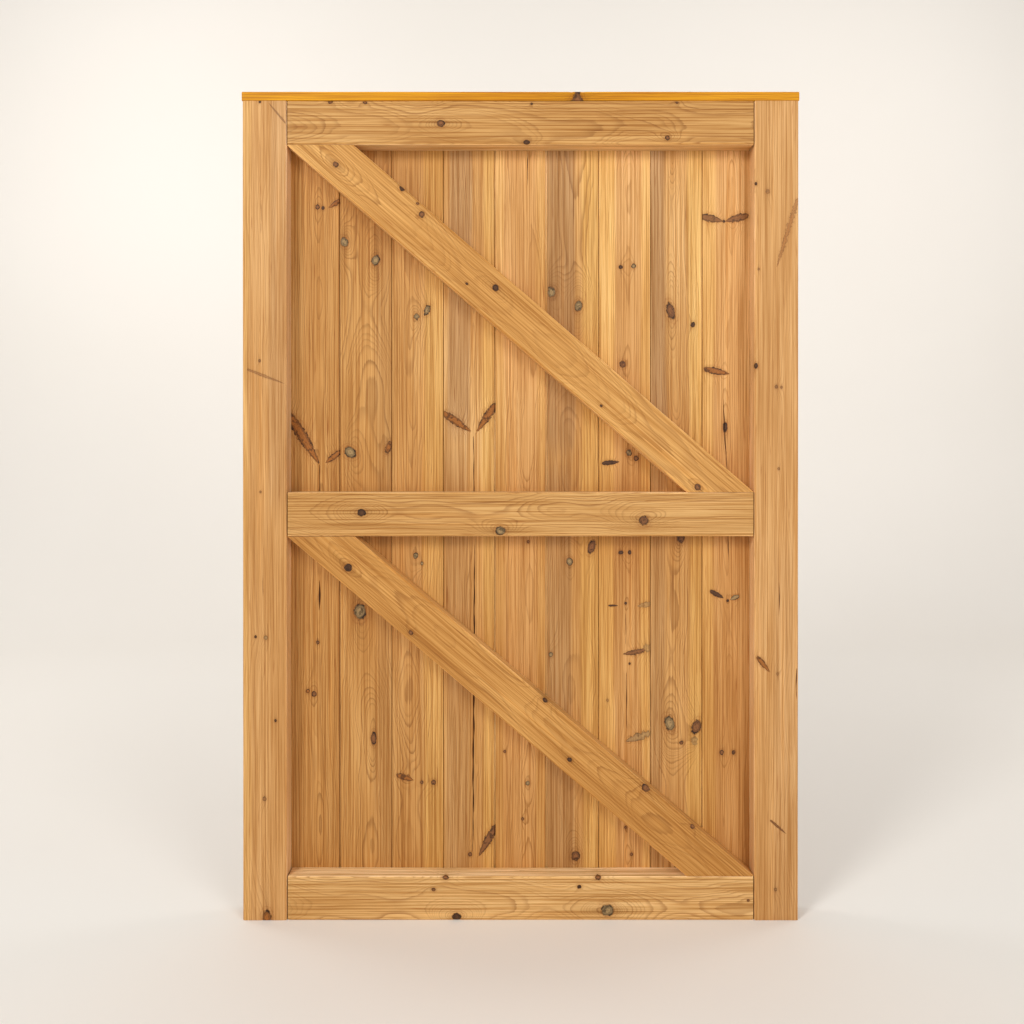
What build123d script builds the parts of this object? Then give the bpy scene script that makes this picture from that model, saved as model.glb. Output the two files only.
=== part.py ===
from build123d import *
import os
from math import asin, atan2, degrees, sin, tan

# A framed, ledged and braced garden gate leaf with a boarded face and a weather capping.
# +Z is up and +X runs along the leaf towards the hinge stile. The braced back faces -Y and the
# boarded face, which looks onto the path, faces +Y. The origin is at the middle of the foot.
# All sizes are in millimetres.

# Driving sizes of the leaf
LEAF_WIDTH = 1200.0
LEAF_HEIGHT = 1790.0
FRAME_DEPTH = 70.0        # stiles, top rail and capping, back to front
MEMBER_WIDTH = 95.0       # face width of every stile, rail and brace
LEDGE_DEPTH = 45.0        # middle rail, bottom rail and braces
BOARD_DEPTH = 20.0
CAPPING_DEPTH = 20.0      # height of the capping board
CAPPING_OVERHANG = 1.5    # past each stile's outer edge
MIDDLE_RAIL_FOOT = 830.0  # underside of the middle rail
ARRIS = 4.0               # rounding of the planed edges
CUT_ARRIS = 1.2           # rounding of edges that were cut and only wiped over

# Places worked out from the driving sizes
HALF_WIDTH = LEAF_WIDTH / 2
HALF_OPENING = HALF_WIDTH - MEMBER_WIDTH
BACK = -FRAME_DEPTH / 2
FRONT = FRAME_DEPTH / 2
LEDGE_FRONT = BACK + LEDGE_DEPTH
BOARD_FRONT = LEDGE_FRONT + BOARD_DEPTH
LEDGE_MIDDLE = (BACK + LEDGE_FRONT) / 2
STILE_TOP = LEAF_HEIGHT - CAPPING_DEPTH
TOP_RAIL_FOOT = STILE_TOP - MEMBER_WIDTH
BOTTOM_RAIL_TOP = MEMBER_WIDTH
MIDDLE_RAIL_TOP = MIDDLE_RAIL_FOOT + MEMBER_WIDTH

# Rebates that house the boards
STILE_REBATE = 12.0
TOP_REBATE = 25.0
BOARD_TOP_GAP = 2.0

# Boards: a fixed cover, and the shrinkage gap that each board leaves at its tongue side
BOARD_COUNT = 9
BOARD_COVER = 114.0
BOARDS_SHIFT = 2.3        # how far the set sits towards the hinge stile
FIRST_BOARD_EXTRA = 4.6   # added to the first board, which fills the latch stile's rebate
BOARD_GAPS = (2.6, 1.0, 1.2, 3.6, 4.6, 1.6, 1.2, 2.0, 0.0)
BOARD_FOOT = 1.0
BOARD_TOP = TOP_RAIL_FOOT + TOP_REBATE - BOARD_TOP_GAP
TONGUE_LENGTH = 8.0
TONGUE_DEPTH = 6.0
TONGUE_MIDDLE = 7.5        # from the boards' back faces
TONGUE_FIT = 0.3          # clearance each side of the tongue
GROOVE_LENGTH = 9.0
V_JOINT = 4.0

# Stub tenons and their pegs
TENON_LENGTH = 55.0
TENON_DEPTH = 16.0
TENON_SHOULDER = 15.0
TENON_HAUNCH = 25.0       # kept off the ends of the stiles
TENON_FIT = 0.25
MORTISE_END_GAP = 2.0
SHOULDER_GAP = 0.5
PEG_RADIUS = 5.0
PEG_FIT = 0.1
PEG_SETBACK = 27.0        # from the shoulder
PEG_STOP = 10.0           # wood left behind the peg at the back face

# Nails through the boards, and screws through the capping
NAIL_LENGTH = 50.0
NAIL_RADIUS = 1.4
NAIL_HEAD_RADIUS = 3.0
NAIL_HEAD_DEPTH = 1.2
NAIL_FIT = 0.1
NAIL_EDGE = 25.0          # from each edge of the board's body
NAIL_STAGGER = 14.0
BRACE_NAIL_REACH = 400.0  # keeps nails off the ends of the braces
SCREW_LENGTH = 60.0
SCREW_RADIUS = 2.5
SCREW_HEAD_RADIUS = 5.0
SCREW_HEAD_DEPTH = 3.0
SCREW_SOCKET_ACROSS = 3.0
SCREW_SOCKET_DEPTH = 1.6
SCREW_FIT = 0.1
SCREW_COUNT = 6
SCREW_END = 25.0          # from the capping's ends

# Each rail's foot, with the foot and top of its tenon
RAILS = {
    "top_rail": (TOP_RAIL_FOOT, TOP_RAIL_FOOT + TENON_SHOULDER, STILE_TOP - TENON_HAUNCH),
    "middle_rail": (MIDDLE_RAIL_FOOT, MIDDLE_RAIL_FOOT + TENON_SHOULDER,
                    MIDDLE_RAIL_TOP - TENON_SHOULDER),
    "bottom_rail": (0.0, TENON_HAUNCH, BOTTOM_RAIL_TOP - TENON_SHOULDER),
}
BAYS = {
    "upper_brace": (MIDDLE_RAIL_TOP, TOP_RAIL_FOOT),
    "lower_brace": (BOTTOM_RAIL_TOP, MIDDLE_RAIL_FOOT),
}


def block(x, y, z):
    """A box from three (low, high) pairs."""
    size = [high - low for low, high in (x, y, z)]
    middle = [(high + low) / 2 for low, high in (x, y, z)]
    return Pos(*middle) * Box(*size)


def rod(radius, start, end):
    """A cylinder from one point to another."""
    line = Vector(*end) - Vector(*start)
    return extrude(Plane(origin=start, z_dir=line.normalized()) * Circle(radius), amount=line.length)


def rounded(sketch, corners, radius):
    """A sketch with the corners at these places rounded."""
    chosen = [v for v in sketch.vertices()
              if any(abs(v.X - x) < 0.01 and abs(v.Y - y) < 0.01 for x, y in corners)]
    return fillet(chosen, radius)


def tenon(side, foot, top, fit, end_gap):
    """The stub tenon at one end of a rail, grown by a fit to make its mortise."""
    root = HALF_OPENING - SHOULDER_GAP - 1.0
    reach = HALF_OPENING + TENON_LENGTH + end_gap
    x = sorted((side * root, side * reach))
    y = (LEDGE_MIDDLE - TENON_DEPTH / 2 - fit, LEDGE_MIDDLE + TENON_DEPTH / 2 + fit)
    return block(x, y, (foot - fit, top + fit))


def peg(side, foot, top, fit=0.0):
    """A round peg driven from the front face through a tenon."""
    x = side * (HALF_OPENING + PEG_SETBACK)
    z = (foot + top) / 2
    return rod(PEG_RADIUS + fit, (x, FRONT, z), (x, BACK + PEG_STOP - fit, z))


def screw_places():
    """Where the capping screws stand along the leaf."""
    reach = HALF_WIDTH - SCREW_END
    return [-reach + 2 * reach * n / (SCREW_COUNT - 1) for n in range(SCREW_COUNT)]


def screw_shape(x, fit=0.0):
    """A countersunk screw standing in the capping, with its head flush with the top."""
    shank = rod(SCREW_RADIUS + fit, (x, 0, LEAF_HEIGHT - 1), (x, 0, LEAF_HEIGHT - SCREW_LENGTH - fit))
    head = Pos(x, 0, LEAF_HEIGHT - SCREW_HEAD_DEPTH / 2) * Cone(
        SCREW_RADIUS + fit, SCREW_HEAD_RADIUS + fit, SCREW_HEAD_DEPTH)
    return shank + head


def screw(x):
    """A screw with a square driver socket."""
    half = SCREW_SOCKET_ACROSS / 2
    socket = block((x - half, x + half), (-half, half),
                   (LEAF_HEIGHT - SCREW_SOCKET_DEPTH, LEAF_HEIGHT + 1))
    return screw_shape(x) - socket


def stile(side):
    """A stile: side -1 is the latch stile and +1 the hinge stile."""
    outer, inner = side * HALF_WIDTH, side * HALF_OPENING
    lip = side * (HALF_OPENING + STILE_REBATE)
    outline = [(outer, BACK), (inner, BACK), (inner, LEDGE_FRONT), (lip, LEDGE_FRONT),
               (lip, FRONT), (outer, FRONT)]
    plan = make_face(Polyline(*outline, close=True))
    plan = rounded(plan, [(outer, BACK), (inner, BACK), (outer, FRONT)], ARRIS)
    solid = extrude(plan, amount=STILE_TOP, dir=(0, 0, 1))
    for foot, tenon_foot, tenon_top in RAILS.values():
        solid -= tenon(side, tenon_foot, tenon_top, TENON_FIT, MORTISE_END_GAP)
        solid -= peg(side, tenon_foot, tenon_top, PEG_FIT)
    return solid


def long_shoulder(side, foot, top):
    """The front of the top rail's shoulder, which runs on into the stile's rebate."""
    root = HALF_OPENING - SHOULDER_GAP - 1.0
    reach = HALF_OPENING + STILE_REBATE - SHOULDER_GAP
    x = sorted((side * root, side * reach))
    return block(x, (LEDGE_FRONT + SHOULDER_GAP, FRONT), (foot, top))


def rail(name):
    """A rail with a stub tenon at each end. Only the top rail is as deep as the stiles."""
    foot, tenon_foot, tenon_top = RAILS[name]
    top = foot + MEMBER_WIDTH
    if name == "top_rail":
        lip = foot + TOP_REBATE
        outline = [(BACK, foot), (LEDGE_FRONT, foot), (LEDGE_FRONT, lip), (FRONT, lip),
                   (FRONT, top), (BACK, top)]
    else:
        outline = [(BACK, foot), (LEDGE_FRONT, foot), (LEDGE_FRONT, top), (BACK, top)]
    section = make_face(Polyline(*outline, close=True))
    section = rounded(section, [(BACK, foot), (BACK, top)], ARRIS)
    half = HALF_OPENING - SHOULDER_GAP
    across = Plane(origin=(-half, 0, 0), x_dir=(0, 1, 0), z_dir=(1, 0, 0))
    solid = extrude(across * section, amount=2 * half)
    for side in (-1, 1):
        solid += tenon(side, tenon_foot, tenon_top, 0.0, 0.0)
        if name == "top_rail":
            solid += long_shoulder(side, foot + TOP_REBATE, top)
        solid -= peg(side, tenon_foot, tenon_top, PEG_FIT)
    return solid


def brace_slope(name):
    """A brace's angle above the horizontal, and the length of its level end cuts."""
    foot, top = BAYS[name]
    across, rise = 2 * HALF_OPENING, top - foot
    # A strip of the member's width fits corner to corner when its diagonal turns by this angle.
    angle = atan2(rise, across) + asin(MEMBER_WIDTH / (across**2 + rise**2) ** 0.5)
    return angle, MEMBER_WIDTH / sin(angle)


def brace_height(name, x):
    """Height of a brace's centre line at a place along the leaf."""
    foot, top = BAYS[name]
    angle, _ = brace_slope(name)
    return (foot + top) / 2 - x * tan(angle)


def brace(name):
    """A diagonal brace that falls towards the hinge stile, cut level at both ends."""
    foot, top = BAYS[name]
    angle, _ = brace_slope(name)
    half = MEMBER_WIDTH / 2
    section = make_face(Polyline((BACK, -half), (LEDGE_FRONT, -half), (LEDGE_FRONT, half),
                                 (BACK, half), close=True))
    section = rounded(section, [(BACK, -half), (BACK, half)], ARRIS)
    across = Plane(origin=(-LEAF_WIDTH, 0, 0), x_dir=(0, 1, 0), z_dir=(1, 0, 0))
    bar = extrude(across * section, amount=2 * LEAF_WIDTH)
    bar = Pos(0, 0, (foot + top) / 2) * Rot(0, degrees(angle), 0) * bar
    bay = block((-HALF_OPENING, HALF_OPENING), (BACK - 1, FRONT), (foot, top))
    return bar & bay


def board_start(index):
    """The groove-side edge of a board's body."""
    return BOARDS_SHIFT + (index - BOARD_COUNT / 2) * BOARD_COVER


def board(index):
    """A tongue-and-groove board with a V-joint on its front face."""
    left = board_start(index)
    right = left + BOARD_COVER - BOARD_GAPS[index]
    if index == 0:
        left -= FIRST_BOARD_EXTRA
    middle = LEDGE_FRONT + TONGUE_MIDDLE
    plan = make_face(Polyline((left, LEDGE_FRONT), (right, LEDGE_FRONT), (right, BOARD_FRONT - V_JOINT),
                              (right - V_JOINT, BOARD_FRONT), (left + V_JOINT, BOARD_FRONT),
                              (left, BOARD_FRONT - V_JOINT), close=True))
    solid = extrude(plan, amount=BOARD_TOP - BOARD_FOOT, dir=(0, 0, 1))
    solid = Pos(0, 0, BOARD_FOOT) * solid
    groove_half = TONGUE_DEPTH / 2 + TONGUE_FIT
    solid -= block((left - 1, left + GROOVE_LENGTH), (middle - groove_half, middle + groove_half),
                   (0, LEAF_HEIGHT))
    if index < BOARD_COUNT - 1:
        tongue_half = TONGUE_DEPTH / 2
        solid += block((right - 1, right + TONGUE_LENGTH), (middle - tongue_half, middle + tongue_half),
                       (BOARD_FOOT, BOARD_TOP))
    return solid


def nail(x, z, fit=0.0):
    """A flat-headed nail driven through a board from the front."""
    shank = rod(NAIL_RADIUS + fit, (x, BOARD_FRONT, z), (x, BOARD_FRONT - NAIL_LENGTH - fit, z))
    head = rod(NAIL_HEAD_RADIUS + fit, (x, BOARD_FRONT, z), (x, BOARD_FRONT - NAIL_HEAD_DEPTH - fit, z))
    return shank + head


def nails_by_board(name):
    """Each board's nails into one member, as lists of (x, z)."""
    rows = []
    for index in range(BOARD_COUNT):
        left = board_start(index)
        right = left + BOARD_COVER - BOARD_GAPS[index]
        pair = (left + NAIL_EDGE, right - NAIL_EDGE)
        if name in BAYS:
            rows.append([(x, brace_height(name, x)) for x in pair if abs(x) < BRACE_NAIL_REACH])
        elif name == "top_rail":
            middle = (TOP_RAIL_FOOT + BOARD_TOP) / 2
            rows.append([(x, middle) for x in pair])
        else:
            middle = RAILS[name][0] + MEMBER_WIDTH / 2
            rows.append([(pair[0], middle - NAIL_STAGGER), (pair[1], middle + NAIL_STAGGER)])
    return rows


def without_nails(solid, places):
    """A solid with the holes that its nails fill."""
    holes = [nail(x, z, NAIL_FIT) for x, z in places]
    return solid - holes


def capping():
    """The weather capping that lies along the top of the stiles and the top rail."""
    half = HALF_WIDTH + CAPPING_OVERHANG
    section = make_face(Polyline((BACK, STILE_TOP), (FRONT, STILE_TOP), (FRONT, LEAF_HEIGHT),
                                 (BACK, LEAF_HEIGHT), close=True))
    section = rounded(section, [(BACK, LEAF_HEIGHT), (FRONT, LEAF_HEIGHT)], ARRIS)
    section = rounded(section, [(BACK, STILE_TOP), (FRONT, STILE_TOP)], CUT_ARRIS)
    across = Plane(origin=(-half, 0, 0), x_dir=(0, 1, 0), z_dir=(1, 0, 0))
    return extrude(across * section, amount=2 * half)


def without_screws(solid, places):
    """A solid with the holes that its capping screws fill."""
    return solid - [screw_shape(x, SCREW_FIT) for x in places]


def make_nodes():
    """Every sub-part of the leaf, by its node's name."""
    nailing = {name: nails_by_board(name) for name in (*RAILS, *BAYS)}
    places = screw_places()
    nodes = {
        "latch_stile": without_screws(stile(-1), places[:1]),
        "hinge_stile": without_screws(stile(1), places[-1:]),
        "top_capping": without_screws(capping(), places),
    }
    for name in RAILS:
        nodes[name] = without_nails(rail(name), sum(nailing[name], []))
    nodes["top_rail"] = without_screws(nodes["top_rail"], places[1:-1])
    for name in BAYS:
        nodes[name] = without_nails(brace(name), sum(nailing[name], []))
    for index in range(BOARD_COUNT):
        held = sum((nailing[name][index] for name in nailing), [])
        nodes[f"board_{index + 1}"] = without_nails(board(index), held)
    for name, rows in nailing.items():
        nodes[f"nails_{name}"] = Compound([nail(x, z) for x, z in sum(rows, [])])
    nodes["tenon_pegs"] = Compound([peg(side, foot, top) for side in (-1, 1)
                                    for _, foot, top in RAILS.values()])
    nodes["capping_screws"] = Compound([screw(x) for x in places])
    return nodes


def write_nodes():
    """Writes each sub-part to parts/NODE.step."""
    os.makedirs("parts", exist_ok=True)
    for name, shape in make_nodes().items():
        export_step(shape, f"parts/{name}.step")


write_nodes()
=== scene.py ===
import logging
import math
from dataclasses import dataclass, field
from enum import Enum
from typing import ClassVar

import bpy
import numpy as np
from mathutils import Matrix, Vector


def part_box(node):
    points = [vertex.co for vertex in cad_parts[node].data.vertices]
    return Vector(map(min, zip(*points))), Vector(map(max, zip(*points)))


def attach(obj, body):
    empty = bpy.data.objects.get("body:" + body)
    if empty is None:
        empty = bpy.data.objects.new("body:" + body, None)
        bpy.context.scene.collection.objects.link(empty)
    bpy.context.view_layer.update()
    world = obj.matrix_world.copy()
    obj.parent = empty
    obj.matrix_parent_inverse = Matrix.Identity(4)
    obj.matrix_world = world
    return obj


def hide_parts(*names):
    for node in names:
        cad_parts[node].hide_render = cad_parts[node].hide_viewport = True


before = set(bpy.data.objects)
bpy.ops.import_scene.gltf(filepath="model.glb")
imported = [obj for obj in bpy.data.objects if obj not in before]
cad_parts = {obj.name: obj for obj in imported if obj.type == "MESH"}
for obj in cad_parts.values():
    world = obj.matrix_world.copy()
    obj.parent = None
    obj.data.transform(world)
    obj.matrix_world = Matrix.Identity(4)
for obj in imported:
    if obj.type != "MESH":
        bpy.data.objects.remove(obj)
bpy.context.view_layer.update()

# A boarded garden gate leaf in planed softwood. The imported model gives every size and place; the
# classes below build each timber and fixing again as a fine mesh and give it its finish.
# Shapes are worked out in millimetres and written in metres.

MM = 0.001
BODY = "root"
LOG = logging.getLogger("gate")

Socket = bpy.types.NodeSocket
Piece = bpy.types.Object
Face = tuple[int, ...]
Triple = tuple[float, float, float]
Spot = tuple[float, float, float]    # a finely meshed place: its centre, reach and gap
Axes = tuple[np.ndarray, np.ndarray, np.ndarray, np.ndarray]

# Mesh
ARRIS = 4.0                # rounding of planed edges
SAWN_ARRIS = 1.0           # rounding of edges that were cut to length
ARC_STEPS = 5
CORNER_GAP = 0.9           # the mesh's gap beside a corner
FINENESS_GROWTH = 0.32     # how fast the mesh coarsens away from a knot or check
STEP_ALONG = 11.0
STEP_ACROSS = 5.0
STEP_THROUGH = 6.0
END_SCALES = (0.12, 0.3, 0.5, 0.7, 0.86)   # rings that close a sawn end, from its middle out
SHARP_WOOD = math.radians(38)
SHARP_METAL = math.radians(42)

# Planed surface
FLAT_INSET = 0.12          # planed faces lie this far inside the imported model
FLAT_WANDER = 0.16
KNOT_GROOVE = 0.45         # depth of the shrunk ring round a knot
KNOT_CROWN = 0.10          # how far a knot's hard heart stands up in that ring
FAR_IN_RADII = 8.0         # beyond this many radii a knot has no effect

# Stain, with painted light and shade
EDGE_FADE = 0.5            # how fast a knot on an edge dies away over that edge
EDGE_SHINE = 0.3           # how much of a rounded arris's rubbed stain and painted highlight the last of a flat gets
SIDE_SHADE = 0.05          # how much darker a timber's sides are painted: painted shade
SIDE_SKIN = 1.0            # how near a side's plane its painted light begins
# painted light: how much lighter a tongue is painted in its shaded gap
PAINTED_TONGUE_LIGHT = 1.35
# painted light: how much lighter the sides of stiles, rails and braces are painted
PAINTED_SIDE_LIGHT = 1.5
TONGUE_MARGIN = 0.2        # how far past its shoulder a tongue's painted light begins
UPPER_ZONE = (1250.0, 1650.0)   # heights over which an upright's top is painted lighter or darker: painted light or shade
# heights over which an upright's foot is painted lighter or darker: painted light or shade
LOWER_ZONE = (150.0, 1100.0)
WAIST_HEIGHT = 877.0       # where the boards lie against the middle rail and are painted darker: painted shade
WAIST_REACH = 190.0
SLOW_DRIFT = 0.045         # how much the stain wanders along a timber
STRIPE_DRIFT = 4.0         # how far a stripe strays across it

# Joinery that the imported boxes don't show
SHOULDER_GAP = 2.0
STILE_REBATE = 12.0
TOP_REBATE = 25.0
LEDGE_DEPTH = 45.0
TONGUE_LENGTH = 8.0
TONGUE_MIDDLE = 7.5        # from the board's back
TONGUE_HALF = 3.0
GROOVE_HALF = 3.3
GROOVE_DEPTH = 9.0
V_JOINT = 4.0
CLEARANCE = 0.5            # round the top rail's long shoulders
WIDEST_HEAD = 12.0         # points of one fixing's head lie nearer to each other than this
FLUSH = 0.05               # points this near the outermost one count as a head's

RIGHT = np.array([1.0, 0.0, 0.0])
INTO = np.array([0.0, 1.0, 0.0])
UP = np.array([0.0, 0.0, 1.0])


def from_screen(colour: Triple) -> tuple[float, float, float, float]:
    """A display colour, 0 to 255 a channel, as a linear shader colour with full alpha."""
    linear = [((c / 255 + 0.055) / 1.055) ** 2.4 for c in colour]
    return (*linear, 1.0)


def low_corner(node: str) -> np.ndarray:
    """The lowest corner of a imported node, in millimetres."""
    return np.array(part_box(node)[0]) / MM


def high_corner(node: str) -> np.ndarray:
    """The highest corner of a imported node, in millimetres."""
    return np.array(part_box(node)[1]) / MM


def smooth_step(low: float, high: float, value: np.ndarray) -> np.ndarray:
    """A smooth rise from 0 at low to 1 at high."""
    t = np.clip((value - low) / (high - low), 0.0, 1.0)
    return t * t * (3 - 2 * t)


def spaced(low: float, high: float, step: float, spots: list[Spot]) -> np.ndarray:
    """Positions that are close together at some spots and a step apart elsewhere.

    Args:
        low, high: the first and last position.
        step: the widest gap.
        spots: for each spot its centre, its reach each way and the gap inside it.

    Returns:
        The positions, in order.
    """
    marks = [low]
    while marks[-1] < high - 1e-6:
        here = marks[-1]
        gaps = [fine + max(0.0, abs(here - middle) - reach) * FINENESS_GROWTH
                for middle, reach, fine in spots]
        marks.append(here + min([step, *gaps]))
    even = np.array(marks)
    return low + (even - low) * (high - low) / (even[-1] - low)


class Wander:
    """A smooth random line: a sum of sine waves with seeded phases."""

    def __init__(self, seed: int, wavelength: float, waves: int = 5) -> None:
        """Draws the waves.

        Args:
            seed: the random seed.
            wavelength: the longest wavelength, in millimetres.
            waves: how many waves are added.
        """
        draw = np.random.default_rng(seed)
        self.rates = 2 * math.pi / wavelength * (1 + np.arange(waves) * draw.uniform(0.55, 0.95, waves))
        self.phases = draw.uniform(0, 2 * math.pi, waves)
        self.sizes = 1 / (1 + np.arange(waves))

    def at(self, place: np.ndarray) -> np.ndarray:
        """The line's height at some places.

        Args:
            place: places along the line, in millimetres.

        Returns:
            The height at each place, about -1 to 1.
        """
        total = sum(size * np.sin(rate * place + phase)
                    for size, rate, phase in zip(self.sizes, self.rates, self.phases))
        return total / self.sizes.sum() * 1.6


class KnotTone(Enum):
    """The colour family of a knot's heart, as a place on the knot colour scale."""

    BLACK = 0.0
    BROWN = 0.33
    RUSSET = 0.66
    GREY = 1.0


@dataclass(frozen=True)
class Knot:
    """A branch sawn across: a round or oval knot. Places are in the timber's own millimetres."""

    along: float
    across: float
    radius: float
    tone: KnotTone = KnotTone.BROWN
    stretch: float = 1.15
    swirl: float = 1.0
    ragged: float = 0.26     # how far its outline strays, in radii
    faint: float = 0.0       # how much of the plain wood shows through
    tail: float = 0.6        # how dark the streaks are that run from it along the grain
    tilt: float = 0.0        # turn of its long axis from the grain, in degrees

    def spot(self, shear: float) -> Spot:
        """Where the mesh is fine along the timber: centre, reach and gap."""
        reach = self.radius * (self.stretch * 1.3 + abs(shear))
        return self.along - shear * self.across, reach, self.fineness

    @property
    def spot_across(self) -> Spot:
        """Where the mesh is fine across the timber: centre, reach and gap."""
        return self.across, self.radius * 1.3, self.fineness

    @property
    def fineness(self) -> float:
        """The mesh's gap at the knot."""
        return min(max(self.radius / 3.5, 0.9), 2.6)

    def turned(self, along: np.ndarray, across: np.ndarray) -> tuple[np.ndarray, np.ndarray]:
        """Measures places from the knot's centre, along and across its own long axis.

        Args:
            along, across: places in the timber's own millimetres.

        Returns:
            How far ahead of the centre and how far aside each place is.
        """
        turn = math.radians(self.tilt)
        ahead, aside = along - self.along, across - self.across
        return (ahead * math.cos(turn) + aside * math.sin(turn),
                aside * math.cos(turn) - ahead * math.sin(turn))

    def distance(self, along: np.ndarray, across: np.ndarray) -> np.ndarray:
        """Distance from the knot's centre, in its radii."""
        ahead, aside = self.turned(along, across)
        return np.hypot(ahead / (self.radius * self.stretch), aside / self.radius)

    def bend(self, along: np.ndarray, across: np.ndarray) -> np.ndarray:
        """How far the growth rings are pushed out round the knot.

        Args:
            along, across: places in the timber's own millimetres.

        Returns:
            The push at each place, in millimetres.
        """
        lengthwise = (along - self.along) / (3.4 * self.radius * self.stretch)
        sideways = (across - self.across) / (1.9 * self.radius)
        return 1.6 * self.swirl * self.radius * np.exp(-0.5 * (lengthwise**2 + sideways**2))

    def streak(self, along: np.ndarray, across: np.ndarray) -> np.ndarray:
        """The dark streaks that run from the knot along the grain.

        Args:
            along, across: places in the timber's own millimetres.

        Returns:
            The streak's strength at each place, 0 to the knot's tail.
        """
        lengthwise = (along - self.along) / (3.2 * self.radius * self.stretch)
        sideways = (across - self.across) / (0.75 * self.radius)
        return self.tail * np.exp(-0.5 * (lengthwise**2 + sideways**2))


@dataclass(frozen=True)
class Spike(Knot):
    """A branch sawn along its length: a leaf shape that narrows to a tip."""

    tip: tuple[float, float] = (0.0, 0.0)    # along and across
    ragged: float = 0.42
    tail: float = 0.25

    def spot(self, shear: float) -> Spot:
        """Where the mesh is fine along the timber: centre, reach and gap."""
        reach = abs(self.along - self.tip[0]) / 2 + self.radius
        return (self.along + self.tip[0]) / 2 - shear * self.across, reach, self.fineness

    @property
    def spot_across(self) -> Spot:
        """Where the mesh is fine across the timber: centre, reach and gap."""
        reach = abs(self.across - self.tip[1]) / 2 + self.radius
        return (self.across + self.tip[1]) / 2, reach, self.fineness

    def distance(self, along: np.ndarray, across: np.ndarray) -> np.ndarray:
        """Distance from the spike's middle line.

        Args:
            along, across: places in the timber's own millimetres.

        Returns:
            The distance at each place, in the spike's half width there.
        """
        run = np.array([self.tip[0] - self.along, self.tip[1] - self.across])
        share = ((along - self.along) * run[0] + (across - self.across) * run[1]) / (run @ run)
        share = np.clip(share, 0.0, 1.0)
        gap = np.hypot(along - self.along - share * run[0], across - self.across - share * run[1])
        return gap / (self.radius * np.sin(math.pi * (0.25 + 0.70 * share)))

    def bend(self, along: np.ndarray, across: np.ndarray) -> np.ndarray:
        """How far the growth rings are pushed out round the spike, in millimetres."""
        return self.swirl * self.radius * np.exp(-0.5 * (self.distance(along, across) / 2.4) ** 2)


@dataclass(frozen=True)
class Check:
    """A drying crack that runs along the grain of the back face."""

    start: float
    end: float
    across: float
    width: float = 1.6
    depth: float = 2.5
    drift: float = 0.0
    wobble: float = 0.8

    @property
    def spot_across(self) -> Spot:
        """Where the mesh is fine across the timber: centre, reach and gap."""
        reach = self.width + self.wobble + abs(self.drift) / 2
        return self.across + self.drift / 2, reach, 0.45

    def opening(self, along: np.ndarray, across: np.ndarray) -> np.ndarray:
        """How open the crack is.

        Args:
            along, across: places in the timber's own millimetres.

        Returns:
            The opening at each place, 0 beside the crack to 1 in its middle.
        """
        share = (along - self.start) / (self.end - self.start)
        line = self.across + self.drift * share + self.wobble * np.sin(along / 17) * np.cos(along / 41)
        inside = np.clip(np.sin(np.pi * np.clip(share, 0, 1)), 0, 1) ** 0.5
        half = np.maximum(self.width / 2 * inside * (0.7 + 0.3 * np.sin(along / 9)), 1e-3)
        return np.clip(1.8 * (1 - np.abs(across - line) / half), 0, 1) * (inside > 0.02)


@dataclass(frozen=True)
class Seat:
    """A hole for a screw head in the capping's upper face."""

    RIM = 0.6     # how far the mesh stays fine beyond the hole

    along: float
    across: float
    radius: float
    depth: float

    def spot(self, shear: float) -> Spot:
        """Where the mesh is fine along the timber: centre, reach and gap."""
        return self.along - shear * self.across, self.radius + self.RIM, self.radius / 4

    @property
    def spot_across(self) -> Spot:
        """Where the mesh is fine across the timber: centre, reach and gap."""
        return self.across, self.radius + self.RIM, self.radius / 4


class Wood(Enum):
    """A stripe's kind of wood."""

    HEART = "heart"
    SAP = "sap"


@dataclass(frozen=True)
class Stripe:
    """A stripe of darker heartwood or yellower sapwood along a timber."""

    low: float
    high: float
    kind: Wood
    strength: float = 1.0
    softness: float = 5.0
    start: float = -1e4
    end: float = 1e4

    def share(self, along: np.ndarray, across: np.ndarray) -> np.ndarray:
        """How strong the stripe is.

        Args:
            along, across: places in the timber's own millimetres.

        Returns:
            The strength at each place, 0 to 1.
        """
        sides = smooth_step(self.low - self.softness, self.low + self.softness, across)
        sides = sides * (1 - smooth_step(self.high - self.softness, self.high + self.softness, across))
        ends = smooth_step(self.start - 60, self.start + 60, along)
        ends = ends * (1 - smooth_step(self.end - 60, self.end + 60, along))
        return self.strength * sides * ends


@dataclass(frozen=True)
class Growth:
    """Where a timber was sawn from its log, which sets the pattern of its rings."""

    seed: int
    pith_across: float
    pith_through: float
    ring: float = 4.2
    lean_across: float = 0.0     # drift of the pith across the timber, per metre
    lean_through: float = 0.0    # drift of the pith through the timber, per metre
    wander: float = 6.0

    def rings(self, along: np.ndarray, across: np.ndarray, through: np.ndarray,
              knots: list[Knot]) -> np.ndarray:
        """Counts growth rings from the pith.

        Args:
            along, across, through: places in the timber's own millimetres.
            knots: the knots that bend the rings.

        Returns:
            The ring count at each place, which passes a whole number at each dark line.
        """
        sideways = self.wander * Wander(self.seed, 900).at(along)
        inward = self.wander * Wander(self.seed + 50, 620).at(along)
        metres = along * MM
        distance = np.hypot(across - self.pith_across - self.lean_across * metres - sideways,
                            through - self.pith_through - self.lean_through * metres - inward)
        ripple = Wander(self.seed + 90, 210).at(along * 0.8 + across * 2.1)
        distance = distance + 0.9 * ripple
        for knot in knots:
            distance = distance - knot.bend(along, across)
        return distance / self.ring + 0.7 * Wander(self.seed + 7, 31).at(distance)


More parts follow.
